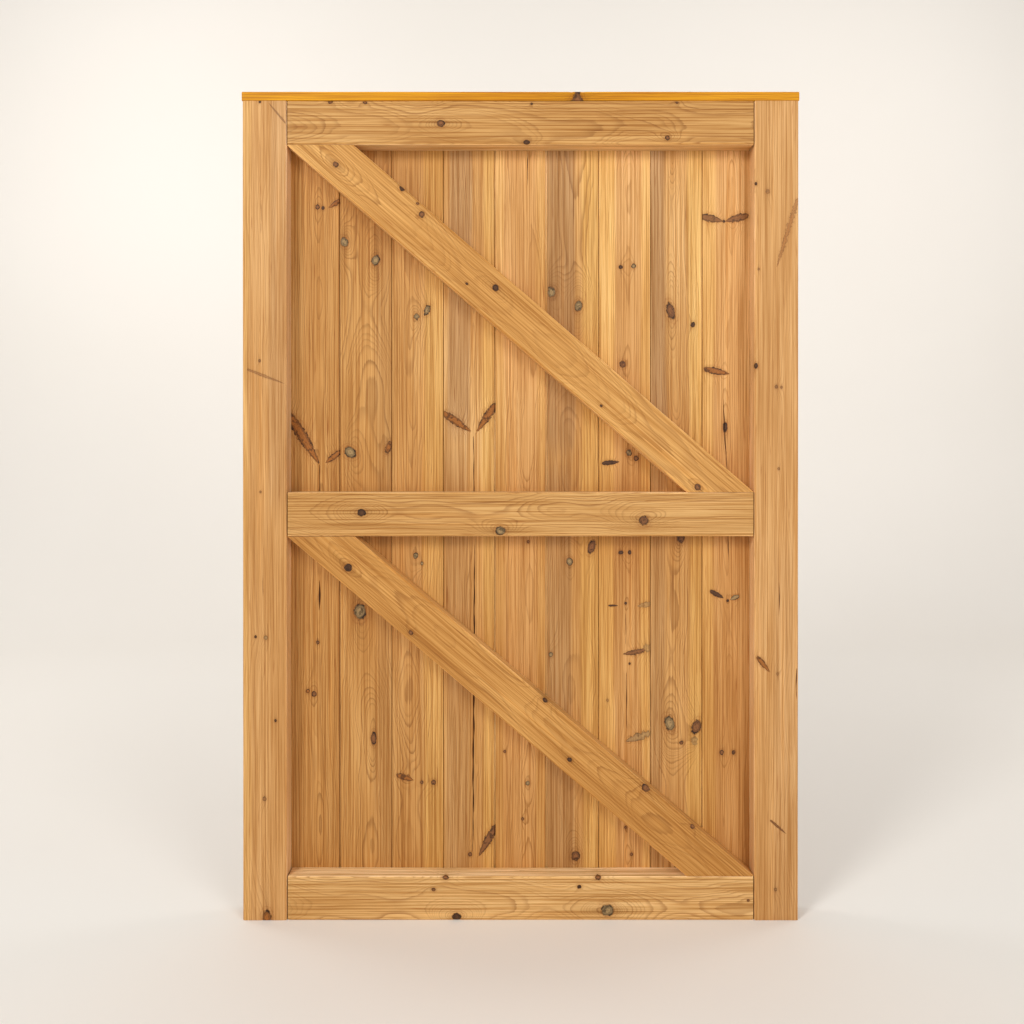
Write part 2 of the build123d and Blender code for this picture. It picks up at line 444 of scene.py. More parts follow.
class Recipe:
    """A material's node tree, made by short calls that hand sockets on."""

    def __init__(self, name: str) -> None:
        """Starts an empty material.

        Args:
            name: the material's name.
        """
        self.material = bpy.data.materials.new(name)
        self.material.use_nodes = True
        self.tree = self.material.node_tree
        self.tree.nodes.clear()

    def node(self, kind: str, **settings: object) -> bpy.types.Node:
        """Adds a node.

        Args:
            kind: the node's type.
            settings: the properties to set on it.

        Returns:
            The node.
        """
        made = self.tree.nodes.new(kind)
        for name, value in settings.items():
            setattr(made, name, value)
        return made

    def feed(self, socket: Socket, value: object) -> None:
        """Links a socket into another, or sets its plain value.

        Args:
            socket: the socket to feed.
            value: a socket or a plain value.
        """
        if isinstance(value, Socket):
            self.tree.links.new(value, socket)
        else:
            socket.default_value = value

    def maths(self, operation: str, first: object, second: object = 0.0, third: object = 0.0,
              clamp: bool = False) -> Socket:
        """Adds one sum.

        Args:
            operation: the Math node's operation.
            first, second, third: numbers or sockets.
            clamp: whether the result is kept in 0 to 1.

        Returns:
            The result's socket.
        """
        made = self.node("ShaderNodeMath", operation=operation, use_clamp=clamp)
        for socket, value in zip(made.inputs, (first, second, third)):
            self.feed(socket, value)
        return made.outputs[0]

    def times(self, first: object, second: object) -> Socket:
        """Multiplies two numbers or sockets."""
        return self.maths("MULTIPLY", first, second)

    def scaled(self, value: object, size: float, start: object) -> Socket:
        """A value times a size, added to a start."""
        return self.maths("MULTIPLY_ADD", value, size, start)

    def remap(self, value: object, low: float, high: float, to_low: float = 0.0,
              to_high: float = 1.0) -> Socket:
        """Turns one range smoothly into another.

        Args:
            value: the value to change.
            low, high: the range that it comes in.
            to_low, to_high: what the ends of that range become.

        Returns:
            The result's socket.
        """
        made = self.node("ShaderNodeMapRange", interpolation_type="SMOOTHSTEP")
        for socket, number in zip(made.inputs, (value, low, high, to_low, to_high)):
            self.feed(socket, number)
        return made.outputs[0]

    def attribute(self, name: str) -> tuple:
        """Reads a mesh attribute.

        Args:
            name: the attribute's name.

        Returns:
            Its three parts, as sockets.
        """
        read = self.node("ShaderNodeAttribute", attribute_name=name)
        parts = self.node("ShaderNodeSeparateXYZ")
        self.feed(parts.inputs[0], read.outputs["Vector"])
        return tuple(parts.outputs)

    def stretched(self, name: str, scale: Triple) -> Socket:
        """Reads a mesh attribute and scales it along each of its axes.

        Args:
            name: the attribute's name.
            scale: the three scales.

        Returns:
            The scaled vector's socket.
        """
        read = self.node("ShaderNodeAttribute", attribute_name=name)
        made = self.node("ShaderNodeVectorMath", operation="MULTIPLY")
        self.feed(made.inputs[0], read.outputs["Vector"])
        made.inputs[1].default_value = scale
        return made.outputs[0]

    def noise(self, place: Socket, scale: float = 1.0, detail: float = 3.0,
              roughness: float = 0.55) -> Socket:
        """Adds a noise pattern.

        Args:
            place: where it is read.
            scale, detail, roughness: the Noise Texture node's settings.

        Returns:
            The pattern, about 0 to 1.
        """
        made = self.node("ShaderNodeTexNoise")
        self.feed(made.inputs["Vector"], place)
        made.inputs["Scale"].default_value = scale
        made.inputs["Detail"].default_value = detail
        made.inputs["Roughness"].default_value = roughness
        return made.outputs["Fac"]

    def dice(self, value: object) -> Socket:
        """Draws a random number for each whole part of a value.

        Args:
            value: a number or socket.

        Returns:
            The random number, 0 to 1.
        """
        made = self.node("ShaderNodeTexWhiteNoise", noise_dimensions="1D")
        self.feed(made.inputs["W"], self.maths("FLOOR", value))
        return made.outputs["Value"]

    def ramp(self, value: object, stops: list[tuple[float, tuple]]) -> Socket:
        """A colour scale.

        Args:
            value: the place on the scale.
            stops: each stop's place and linear colour.

        Returns:
            The colour's socket.
        """
        made = self.node("ShaderNodeValToRGB")
        while len(made.color_ramp.elements) < len(stops):
            made.color_ramp.elements.new(1.0)
        for element, (place, colour) in zip(made.color_ramp.elements, stops):
            element.position = place
            element.color = colour
        self.feed(made.inputs[0], value)
        return made.outputs[0]

    def blend(self, share: object, first: object, second: object,
              mode: str = "MIX") -> Socket:
        """Mixes two colours.

        Args:
            share: how much of the second is used.
            first, second: colours or sockets.
            mode: the Mix node's blend type.

        Returns:
            The mixed colour's socket.
        """
        made = self.node("ShaderNodeMix", data_type="RGBA", blend_type=mode)
        self.feed(made.inputs[0], share)
        self.feed(made.inputs[6], first)
        self.feed(made.inputs[7], second)
        return made.outputs[2]

    def tinted(self, colour: object, tint: Triple, share: object = 1.0) -> Socket:
        """A colour multiplied by a tint, as far as the share says."""
        return self.blend(share, colour, (*tint, 1.0), "MULTIPLY")

    def surface(self, colour: object, roughness: object, height: object, relief: float,
                metallic: float = 0.0, specular: float = 0.5) -> bpy.types.Material:
        """Finishes the material with one surface shader.

        Args:
            colour: the base colour.
            roughness: the roughness.
            height: the height pattern, 0 to 1.
            relief: the height's full size, in metres.
            metallic: 0 for wood, 1 for metal.
            specular: the strength of the reflections off wood.

        Returns:
            The material.
        """
        shader = self.node("ShaderNodeBsdfPrincipled")
        output = self.node("ShaderNodeOutputMaterial")
        bump = self.node("ShaderNodeBump")
        bump.inputs["Distance"].default_value = relief
        self.feed(bump.inputs["Height"], height)
        self.feed(shader.inputs["Base Color"], colour)
        self.feed(shader.inputs["Roughness"], roughness)
        self.feed(shader.inputs["Normal"], bump.outputs[0])
        shader.inputs["Metallic"].default_value = metallic
        shader.inputs["Specular IOR Level"].default_value = specular
        self.feed(output.inputs["Surface"], shader.outputs[0])
        return self.material


@dataclass(frozen=True)
class SoftwoodFinish:
    """Planed and stained softwood, with the colours of its early and late wood."""

    early: Triple
    late: Triple
    contrast: float = 0.8
    grain: float = 0.5       # strength of the fine lines along the grain
    gloss: float = 0.5

    # Pattern cells to the metre, along, across and through
    GRAIN_CELLS = (3.0, 300, 300)
    STREAK_CELLS = (1.3, 62, 62)
    CLOUD_CELLS = (3.0, 15, 15)
    FLECK_CELLS = (11, 190, 190)
    BARK_CELLS = (170, 170, 170)
    PATCH_CELLS = (85, 85, 85)

    # Tints, which multiply the wood's colour
    HEART = (0.76, 0.77, 0.90)
    SAP = (1.15, 1.22, 1.10)
    FLECK = (0.62, 0.42, 0.26)
    STAIN = (0.62, 0.45, 0.33)
    STREAK = (0.60, 0.60, 0.56)
    WARM = (1.03, 0.97, 0.86)
    RUBBED_AND_HIGHLIT = (1.22, 1.20, 1.16)        # rounded arrises: rubbed stain and a painted highlight
    END_GRAIN = (0.66, 0.60, 0.54)
    KNOT_CENTRE = (1.6, 1.6, 1.55)
    TONE_POWERS = (1.0, 1.5, 2.4)      # darker wood is redder and paler wood greyer

    # Display colours
    CRACK_EDGE = (112, 56, 26)
    CRACK = (62, 33, 16)
    KNOT_HEARTS = ((78, 50, 30), (122, 78, 44), (142, 86, 36), (142, 116, 78))   # as KnotTone
    KNOT_RING = (46, 28, 16)
    KNOT_PATCH = (40, 25, 15)
    KNOT_RIM = (34, 20, 12)

    RELIEF = 0.0004    # height of the grain, in metres

    def material(self, name: str) -> bpy.types.Material:
        """Builds the finish.

        Args:
            name: the material's name.

        Returns:
            A material that reads the attributes which Timber writes.
        """
        recipe = Recipe(name)
        rings, heart, sap = recipe.attribute("growth")
        arris, end_grain, crack = recipe.attribute("wear_and_highlight")
        grain = recipe.noise(recipe.stretched("place", self.GRAIN_CELLS), detail=4.0, roughness=0.68)
        streak = recipe.noise(recipe.stretched("place", self.STREAK_CELLS), detail=3.0)
        cloud = recipe.noise(recipe.stretched("place", self.CLOUD_CELLS), detail=2.0)

        shifted = recipe.scaled(streak, 0.6, rings)
        shifted = recipe.scaled(grain, 0.55, shifted)
        late = self.late_share(recipe, shifted, cloud)
        colour = recipe.blend(late, from_screen(self.early), from_screen(self.late))
        colour = recipe.tinted(colour, self.HEART, heart)
        colour = recipe.tinted(colour, self.SAP, sap)
        colour = self.shade(recipe, colour, grain, streak, cloud)
        colour, core = self.knots(recipe, colour, grain)
        # Rounded arrises are painted lighter: partly rubbed stain, partly a painted highlight
        colour = recipe.blend(recipe.times(arris, 0.6), colour, recipe.tinted(colour, self.RUBBED_AND_HIGHLIT))
        colour = recipe.blend(end_grain, colour, recipe.tinted(colour, self.END_GRAIN))
        colour = recipe.blend(recipe.remap(crack, 0.0, 0.5, 0.0, 0.8), colour, from_screen(self.CRACK_EDGE))
        colour = recipe.blend(recipe.remap(crack, 0.4, 1.0), colour, from_screen(self.CRACK))

        rough = recipe.scaled(grain, 0.16, self.gloss)
        rough = recipe.scaled(core, -0.10, rough)
        height = recipe.scaled(late, 0.35, recipe.times(grain, 0.65))
        return recipe.surface(colour, rough, height, self.RELIEF, specular=0.22)

    def late_share(self, recipe: Recipe, rings: Socket,
                   cloud: Socket) -> Socket:
        """How much late wood shows: a slow rise through each ring and a sharp end.

        Args:
            recipe: the material under way.
            rings: the ring count.
            cloud: the broad pattern, which weakens some rings.

        Returns:
            The share of late wood, 0 to 1.
        """
        phase = recipe.maths("FRACT", rings)
        rise = recipe.remap(phase, 0.30, 0.90)
        fall = recipe.remap(phase, 0.92, 1.0, 1.0, 0.0)
        share = recipe.times(recipe.maths("POWER", rise, 2.0), fall)
        strength = recipe.scaled(recipe.dice(rings), 0.85, 0.35)
        strength = recipe.times(strength, recipe.remap(cloud, 0.30, 0.70, 0.5, 1.1))
        strength = recipe.times(strength, self.contrast)
        return recipe.maths("MULTIPLY", share, strength, clamp=True)

    def shade(self, recipe: Recipe, colour: Socket, grain: Socket,
              streak: Socket, cloud: Socket) -> Socket:
        """Adds fine grain, flecks, streaks and tone changes, with painted light and shade, to the ring
        colours.

        Args:
            recipe: the material under way.
            colour: the rings' colour.
            grain, streak, cloud: the fine, long and broad patterns.

        Returns:
            The shaded colour.
        """
        tone_and_light = recipe.attribute("look")[2]
        fine = recipe.remap(grain, 0.36, 0.60, 1 - 0.60 * self.grain, 1 + 0.32 * self.grain)
        value = recipe.times(fine, recipe.remap(streak, 0.28, 0.72, 0.92, 1.07))
        value = recipe.times(value, recipe.remap(cloud, 0.25, 0.75, 0.92, 1.07))
        # The tone from Timber carries painted light and shade along with the wood's own changes
        value = recipe.times(value, tone_and_light)
        tint = recipe.node("ShaderNodeCombineColor")
        for socket, power in zip(tint.inputs, self.TONE_POWERS):
            recipe.feed(socket, recipe.maths("POWER", value, power))
        colour = recipe.blend(1.0, colour, tint.outputs[0], "MULTIPLY")
        warm = recipe.tinted(colour, self.WARM)
        colour = recipe.blend(recipe.remap(streak, 0.54, 0.74), colour, warm)
        fleck = recipe.noise(recipe.stretched("place", self.FLECK_CELLS), detail=1.0)
        marked = recipe.tinted(colour, self.FLECK)
        return recipe.blend(recipe.remap(fleck, 0.69, 0.80, 0.0, 0.65), colour, marked)

    def knots(self, recipe: Recipe, colour: Socket,
              grain: Socket) -> tuple:
        """Paints the knots' hearts, their dark rims and the stained wood round them.

        Args:
            recipe: the material under way.
            colour: the plain wood's colour.
            grain: the fine grain pattern.

        Returns:
            The colour with knots, and the share of knot heart.
        """
        knot, tone, streak = recipe.attribute("marks")
        ragged, faint, _ = recipe.attribute("look")
        rough = recipe.noise(recipe.stretched("place", self.BARK_CELLS), detail=4.0, roughness=0.7)
        patch = recipe.noise(recipe.stretched("place", self.PATCH_CELLS), detail=2.0)
        stray = recipe.times(recipe.maths("SUBTRACT", rough, 0.5), 3.6)
        distance = recipe.scaled(stray, ragged, knot)

        run = recipe.times(streak, recipe.remap(grain, 0.32, 0.62, 1.0, 0.25))
        streaked = recipe.tinted(colour, self.STREAK)
        colour = recipe.blend(run, colour, streaked)
        loops = recipe.remap(recipe.maths("SINE", recipe.times(distance, 12.5)), 0.2, 1.0)
        near = recipe.remap(distance, 1.0, 2.5, 1.0, 0.0)
        stain = recipe.times(near, recipe.scaled(loops, 0.5, 0.28))
        stained = recipe.tinted(colour, self.STAIN)
        shown = recipe.maths("SUBTRACT", 1.0, faint)
        colour = recipe.blend(recipe.times(stain, shown), colour, stained)

        heart = recipe.ramp(tone, [(kind.value, from_screen(shade))
                                   for kind, shade in zip(KnotTone, self.KNOT_HEARTS)])
        lighter = recipe.tinted(heart, self.KNOT_CENTRE)
        heart = recipe.blend(recipe.remap(distance, 0.62, 0.12, 0.0, 0.6), heart, lighter)
        wave = recipe.maths("SINE", recipe.times(distance, 15.0))
        heart = recipe.blend(recipe.remap(wave, 0.0, 1.0, 0.0, 0.35), heart, from_screen(self.KNOT_RING))
        heart = recipe.blend(recipe.remap(patch, 0.54, 0.66, 0.0, 0.6), heart, from_screen(self.KNOT_PATCH))
        core = recipe.remap(distance, 0.90, 1.06, 1.0, 0.0)
        colour = recipe.blend(recipe.times(core, shown), colour, heart)
        rim = recipe.times(recipe.remap(distance, 0.58, 0.90),
                           recipe.remap(distance, 0.96, 1.16, 1.0, 0.0))
        rim = recipe.times(rim, recipe.remap(patch, 0.36, 0.60, 1.0, 0.35))
        colour = recipe.blend(recipe.times(rim, shown), colour, from_screen(self.KNOT_RIM))
        return colour, core


@dataclass(frozen=True)
class PegFinish:
    """The end grain and sides of a round hardwood peg."""

    CUT = (192, 142, 88)
    PORE = (136, 92, 52)
    STAINED = (160, 112, 66)

    def material(self, name: str) -> bpy.types.Material:
        """Builds the finish.

        Args:
            name: the material's name.

        Returns:
            The material.
        """
        recipe = Recipe(name)
        place = recipe.node("ShaderNodeTexCoord").outputs["Object"]
        pores = recipe.noise(place, scale=900, detail=3.0)
        cloud = recipe.noise(place, scale=60, detail=2.0)
        colour = recipe.blend(recipe.remap(pores, 0.35, 0.7), from_screen(self.CUT),
                              from_screen(self.PORE))
        colour = recipe.blend(recipe.remap(cloud, 0.4, 0.7, 0.0, 0.5), colour, from_screen(self.STAINED))
        rough = recipe.scaled(pores, 0.15, 0.6)
        return recipe.surface(colour, rough, pores, 0.0002, specular=0.35)


@dataclass(frozen=True)
class MetalFinish:
    """Zinc-coated steel, mottled and a little stained."""

    bright: Triple
    dull: Triple
    stain: Triple = (122, 88, 60)

    def material(self, name: str) -> bpy.types.Material:
        """Builds the finish.

        Args:
            name: the material's name.

        Returns:
            The material.
        """
        recipe = Recipe(name)
        place = recipe.node("ShaderNodeTexCoord").outputs["Object"]
        spangle = recipe.noise(place, scale=420, detail=3.0)
        rust = recipe.noise(place, scale=170, detail=4.0)
        colour = recipe.blend(recipe.remap(spangle, 0.35, 0.65), from_screen(self.bright),
                              from_screen(self.dull))
        colour = recipe.blend(recipe.remap(rust, 0.56, 0.72, 0.0, 0.7), colour, from_screen(self.stain))
        rough = recipe.remap(rust, 0.4, 0.7, 0.38, 0.62)
        return recipe.surface(colour, rough, spangle, 0.0001, metallic=0.85)


@dataclass(frozen=True)
class Corner:
    """One corner of a timber's section, and how far it is rounded."""

    across: float
    through: float
    rounding: float = 0.0


@dataclass
class Outline:
    """A section's outline as points, with the outward direction at each."""

    points: np.ndarray
    normals: np.ndarray
    rounded: np.ndarray

    @classmethod
    def of(cls, corners: list[Corner], spots: list[Spot]) -> "Outline":
        """Walks round the corners, which go anticlockwise as across is to the right.

        Args:
            corners: the section's corners.
            spots: where the outline is fine across the timber.

        Returns:
            The outline.
        """
        points, normals, rounded = [], [], []
        places = [np.array([c.across, c.through]) for c in corners]
        count = len(corners)
        heads = [(places[(n + 1) % count] - places[n]) for n in range(count)]
        heads = [h / np.linalg.norm(h) for h in heads]
        for n, corner in enumerate(corners):
            before, after = heads[n - 1], heads[n]
            if corner.rounding:
                middle = places[n] + corner.rounding * (after - before)
                for step in range(ARC_STEPS):
                    turn = math.pi / 2 * step / ARC_STEPS
                    out = math.cos(turn) * -after + math.sin(turn) * before
                    points.append(middle + corner.rounding * out)
                    normals.append(out)
                    rounded.append(1.0 if step else EDGE_SHINE)
            else:
                out = np.array([before[1] + after[1], -before[0] - after[0]])
                points.append(places[n])
                normals.append(out / max(np.linalg.norm(out), 1e-6))
                rounded.append(0.0)
            start = places[n] + corner.rounding * after
            length = np.linalg.norm(places[(n + 1) % count] - start) - corners[(n + 1) % count].rounding
            out = np.array([after[1], -after[0]])
            flat = cls.flat_marks(start, after, length, spots)
            first = 0 if corner.rounding else 1
            for mark in flat[first:-1]:
                points.append(start + mark * after)
                normals.append(out)
                rounded.append(EDGE_SHINE if mark == 0 and corner.rounding else 0.0)
        return cls(np.array(points), np.array(normals), np.array(rounded))

    @staticmethod
    def flat_marks(start: np.ndarray, head: np.ndarray, length: float,
                   spots: list[Spot]) -> np.ndarray:
        """Chooses where one flat of the outline has points.

        Args:
            start: where the flat starts.
            head: its direction.
            length: its length.
            spots: where the outline is fine across the timber.

        Returns:
            Distances along the flat.
        """
        ends = [(0.0, 0.0, CORNER_GAP), (length, 0.0, CORNER_GAP)]
        if abs(head[0]) < 0.9:
            return spaced(0.0, length, STEP_THROUGH, ends)
        near = [((middle - start[0]) * head[0], reach, fine) for middle, reach, fine in spots]
        return spaced(0.0, length, STEP_ACROSS, ends + near)


@dataclass
class Timber:
    """One length of timber, swept along its grain from a section."""

    node: str
    finish: SoftwoodFinish
    growth: Growth
    knots: list[Knot] = field(default_factory=list)
    checks: list[Check] = field(default_factory=list)
    stripes: list[Stripe] = field(default_factory=list)
    seats: list[Seat] = field(default_factory=list)
    shade: float = 1.0       # how light this piece is painted as a whole
    top_light: float = 0.0        # painted light: how much lighter its upper end is; below 0, painted shade
    foot: float = 0.0        # painted light: how much lighter its lower end is; below 0, painted shade
    waist_light: float = 0.0       # painted light: how much lighter it is halfway up; below 0, painted shade

    shear: float = field(default=0.0, init=False)   # slope of the end cuts, along by across
    slot: ClassVar[str] = ""
    closes_with_one_face: ClassVar[bool] = False

    @property
    def size(self) -> np.ndarray:
        """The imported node's width, depth and height, in millimetres."""
        return high_corner(self.node) - low_corner(self.node)

    def axes(self) -> Axes:
        """The start point and the directions along, across and through."""
        raise NotImplementedError

    def ends(self) -> tuple[float, float]:
        """Where the timber starts and ends along its grain, at across 0."""
        raise NotImplementedError

    def corners(self) -> list[Corner]:
        """The corners of the section."""
        raise NotImplementedError

    @property
    def name(self) -> str:
        """The piece's name."""
        return f"{self.node}_timber"

    def painted_light(self, across: np.ndarray) -> np.ndarray:
        """How much lighter the wood is painted at each place across, as painted light."""
        return np.ones_like(across)

    def stations(self) -> tuple[np.ndarray, np.ndarray, np.ndarray]:
        """Sections to be joined into the mesh.

        Returns:
            Each section's place along the grain, its inset and its scale. The first and last few
            are smaller and close the ends.
        """
        low, high = self.ends()
        spots = [mark.spot(self.shear) for mark in [*self.knots, *self.seats]]
        body = spaced(low + SAWN_ARRIS, high - SAWN_ARRIS, STEP_ALONG, spots)
        edge = 0.3 * SAWN_ARRIS
        scales = () if self.closes_with_one_face else END_SCALES
        lows = [(low, SAWN_ARRIS, scale) for scale in scales]
        lows += [(low, SAWN_ARRIS, 1.0), (low + edge, edge, 1.0)]
        highs = [(high - edge, edge, 1.0), (high, SAWN_ARRIS, 1.0)]
        highs += [(high, SAWN_ARRIS, scale) for scale in reversed(scales)]
        rows = lows + [(place, 0.0, 1.0) for place in body] + highs
        return tuple(np.array(column) for column in zip(*rows))

    def build(self) -> Piece:
        """Makes the timber's object with its mesh, attributes and finish.

        Returns:
            The object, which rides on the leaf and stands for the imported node.
        """
        spots = [mark.spot_across for mark in [*self.knots, *self.checks, *self.seats]]
        outline = Outline.of(self.corners(), spots)
        place, inset, scale = self.stations()
        middle = (outline.points.max(0) + outline.points.min(0)) / 2
        section = outline.points[None] - inset[:, None, None] * outline.normals[None]
        section = middle + (section - middle) * scale[:, None, None]
        across, through = section[..., 0], section[..., 1]
        along = place[:, None] + self.shear * across
        on_side = (scale == 1.0)[:, None] * np.ones_like(across)
        sunk, crack = self.sink(along, across, outline.normals, on_side)
        marks = self.attributes(along, across, through, crack, outline, inset, scale)
        across = across - sunk * outline.normals[:, 0]
        through = through - sunk * outline.normals[:, 1]
        start, ahead, aside, inward = self.axes()
        points = (start + along[..., None] * ahead + across[..., None] * aside
                  + through[..., None] * inward) * MM
        rows, columns = across.shape
        faces = self.faces(rows, columns, np.dot(np.cross(aside, inward), ahead) > 0)
        mesh = bpy.data.meshes.new(self.name)
        mesh.from_pydata(points.reshape(-1, 3), [], faces)
        for name, parts in marks.items():
            layer = mesh.attributes.new(name, "FLOAT_VECTOR", "POINT")
            layer.data.foreach_set("vector", np.stack(parts, -1).astype(np.float32).ravel())
        mesh.shade_smooth()
        mesh.set_sharp_from_angle(angle=SHARP_WOOD)
        return place_piece(self.name, mesh, self.finish.material(f"{self.name}_wood"),
                           self.node)

    def faces(self, rows: int, columns: int, outward: bool) -> list[Face]:
        """Joins the sections.

        Args:
            rows: how many sections there are.
            columns: how many points each has.
            outward: whether the plain order of corners faces outwards.

        Returns:
            The faces, as lists of point numbers.
        """
        row, column = np.meshgrid(np.arange(rows - 1), np.arange(columns), indexing="ij")
        after = (column + 1) % columns
        quads = np.stack([row * columns + column, row * columns + after,
                          (row + 1) * columns + after, (row + 1) * columns + column], -1)
        faces = [tuple(quad) for quad in quads.reshape(-1, 4).tolist()]
        last = (rows - 1) * columns
        faces.append(tuple(range(columns - 1, -1, -1)))
        faces.append(tuple(range(last, last + columns)))
        return faces if outward else [face[::-1] for face in faces]

    def sink(self, along: np.ndarray, across: np.ndarray, normals: np.ndarray,
             on_side: np.ndarray) -> tuple[np.ndarray, np.ndarray]:
        """Lays hollows, cracks and screw seats into the plain section.

        Args:
            along, across: places in the timber's own millimetres.
            normals: the outline's outward directions.
            on_side: 1 on the long sides and 0 on the sawn ends.

        Returns:
            How far each point lies inside the section, and how open the crack there is.
        """
        rolling = Wander(self.growth.seed + 21, 480).at(along + 3 * across)
        sunk = FLAT_INSET + FLAT_WANDER * (0.5 + 0.5 * np.clip(rolling, -1, 1))
        for knot in self.knots:
            distance = knot.distance(along, across) + knot.faint
            sunk = sunk + KNOT_GROOVE * np.exp(-(((distance - 1.0) / 0.22) ** 2))
            sunk = sunk - KNOT_CROWN * np.exp(-((distance / 0.6) ** 2))
        back = np.clip(-normals[:, 1], 0, 1) > 0.7
        crack = np.zeros_like(along)
        for check in self.checks:
            opening = check.opening(along, across) * back
            crack = np.maximum(crack, opening)
            sunk = sunk + check.depth * opening
        upper = normals[:, 1] > 0.7
        for seat in self.seats:
            gap = np.hypot(along - seat.along, across - seat.across)
            sunk = sunk + seat.depth * (1 - smooth_step(seat.radius, seat.radius + 0.9, gap)) * upper
        return sunk * on_side, crack

    def attributes(self, along: np.ndarray, across: np.ndarray, through: np.ndarray,
                   crack: np.ndarray, outline: Outline, inset: np.ndarray,
                   scale: np.ndarray) -> dict[str, tuple]:
        """What the finish reads at each point.

        Args:
            along, across, through: places in the timber's own millimetres.
            crack: how open the crack is at each point.
            outline: the section.
            inset, scale: each section's inset and scale.

        Returns:
            For each attribute its three parts: the grain's place, the growth rings with heart and
            sap wood, the knots with their tone and streaks, the rubbed and painted-highlit arrises with
            end grain and cracks, and the knots' raggedness and faintness with the tone, painted light and
            shade.
        """
        rings = self.growth.rings(along, across, through, self.knots)
        shares = {kind: np.zeros_like(along) for kind in Wood}
        drift = STRIPE_DRIFT * Wander(self.growth.seed + 33, 1300).at(along)
        for stripe in self.stripes:
            share = stripe.share(along, across + drift)
            shares[stripe.kind] = np.maximum(shares[stripe.kind], share)
        nearest = np.full_like(along, FAR_IN_RADII)
        tone, ragged, faint, streak = (np.zeros_like(along) for _ in range(4))
        on_edge = np.abs(outline.normals[:, 0]) * through
        for knot in self.knots:
            distance = knot.distance(along, across) + EDGE_FADE * on_edge / knot.radius
            closer = distance < nearest
            tone = np.where(closer, knot.tone.value, tone)
            ragged = np.where(closer, knot.ragged, ragged)
            faint = np.where(closer, knot.faint, faint)
            nearest = np.minimum(nearest, distance)
            streak = np.maximum(streak, knot.streak(along, across))
        ends = np.where((scale < 1.0) | (inset >= SAWN_ARRIS), 1.0, 0.0)[:, None] * np.ones_like(along)
        rounded = outline.rounded[None] * np.ones_like(along)
        cut = np.where((inset > 0) & (inset < SAWN_ARRIS), 1.0, 0.0)[:, None]
        # Painted light and shade: the upper end, foot, waist and sides are painted lighter or darker here;
        # the drift is the wood's own tone
        tone_and_light = self.shade + self.top_light * smooth_step(*UPPER_ZONE, along)
        tone_and_light = tone_and_light + self.foot * (1 - smooth_step(*LOWER_ZONE, along))
        tone_and_light = tone_and_light + self.waist_light * np.exp(-(((along - WAIST_HEIGHT) / WAIST_REACH) ** 2))
        tone_and_light = tone_and_light + SLOW_DRIFT * Wander(self.growth.seed + 61, 1500).at(along + 2.5 * across)
        tone_and_light = tone_and_light * (1 - SIDE_SHADE * np.abs(outline.normals[:, 0])) * self.painted_light(across)
        shift = 10.0 * self.growth.seed
        return {
            "place": ((along + 37 * shift) * MM, (across + shift) * MM, (through + 3 * shift) * MM),
            "growth": (rings, shares[Wood.HEART], shares[Wood.SAP]),
            "marks": (nearest, tone, streak),
            "wear_and_highlight": (np.maximum(rounded, cut), ends, crack),
            "look": (ragged, faint, tone_and_light),
        }


def place_piece(name: str, mesh: bpy.types.Mesh, material: bpy.types.Material,
                node: str) -> Piece:
    """Puts a finished mesh in the scene as one piece of the leaf.

    Args:
        name: the piece's name.
        mesh: its mesh, in metres.
        material: its finish.
        node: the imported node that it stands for.

    Returns:
        The piece.
    """
    piece = bpy.data.objects.new(name, mesh)
    bpy.context.scene.collection.objects.link(piece)
    mesh.materials.append(material)
    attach(piece, BODY)
    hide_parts(node)
    LOG.info("%s: %d faces", name, len(mesh.polygons))
    return piece


@dataclass
class Stile(Timber):
    """An upright of the frame, rebated on its inner front corner for the boards."""

    slot: ClassVar[str] = "stile_timber"
    inner_is_low: bool = False   # whether the opening is at the stile's lower X side

    def axes(self) -> Axes:
        """The start point and the directions along, across and through."""
        return low_corner(self.node), UP, RIGHT, INTO

    def painted_light(self, across: np.ndarray) -> np.ndarray:
        """The side towards the boards is painted lighter, as painted light."""
        inner = across < SIDE_SKIN if self.inner_is_low else across > self.size[0] - SIDE_SKIN
        return np.where(inner, PAINTED_SIDE_LIGHT, 1.0)

    def ends(self) -> tuple[float, float]:
        """The stile's foot and top."""
        return 0.0, high_corner(self.node)[2]

    def corners(self) -> list[Corner]:
        """The corners of the section.

        Returns:
            The corners, with the rebate on the inner front.
        """
        wide, deep, _ = self.size
        if self.inner_is_low:
            return [Corner(0, 0, ARRIS), Corner(wide, 0, ARRIS), Corner(wide, deep, ARRIS),
                    Corner(STILE_REBATE, deep), Corner(STILE_REBATE, LEDGE_DEPTH),
                    Corner(0, LEDGE_DEPTH)]
        return [Corner(0, 0, ARRIS), Corner(wide, 0, ARRIS), Corner(wide, LEDGE_DEPTH),
                Corner(wide - STILE_REBATE, LEDGE_DEPTH), Corner(wide - STILE_REBATE, deep),
                Corner(0, deep, ARRIS)]


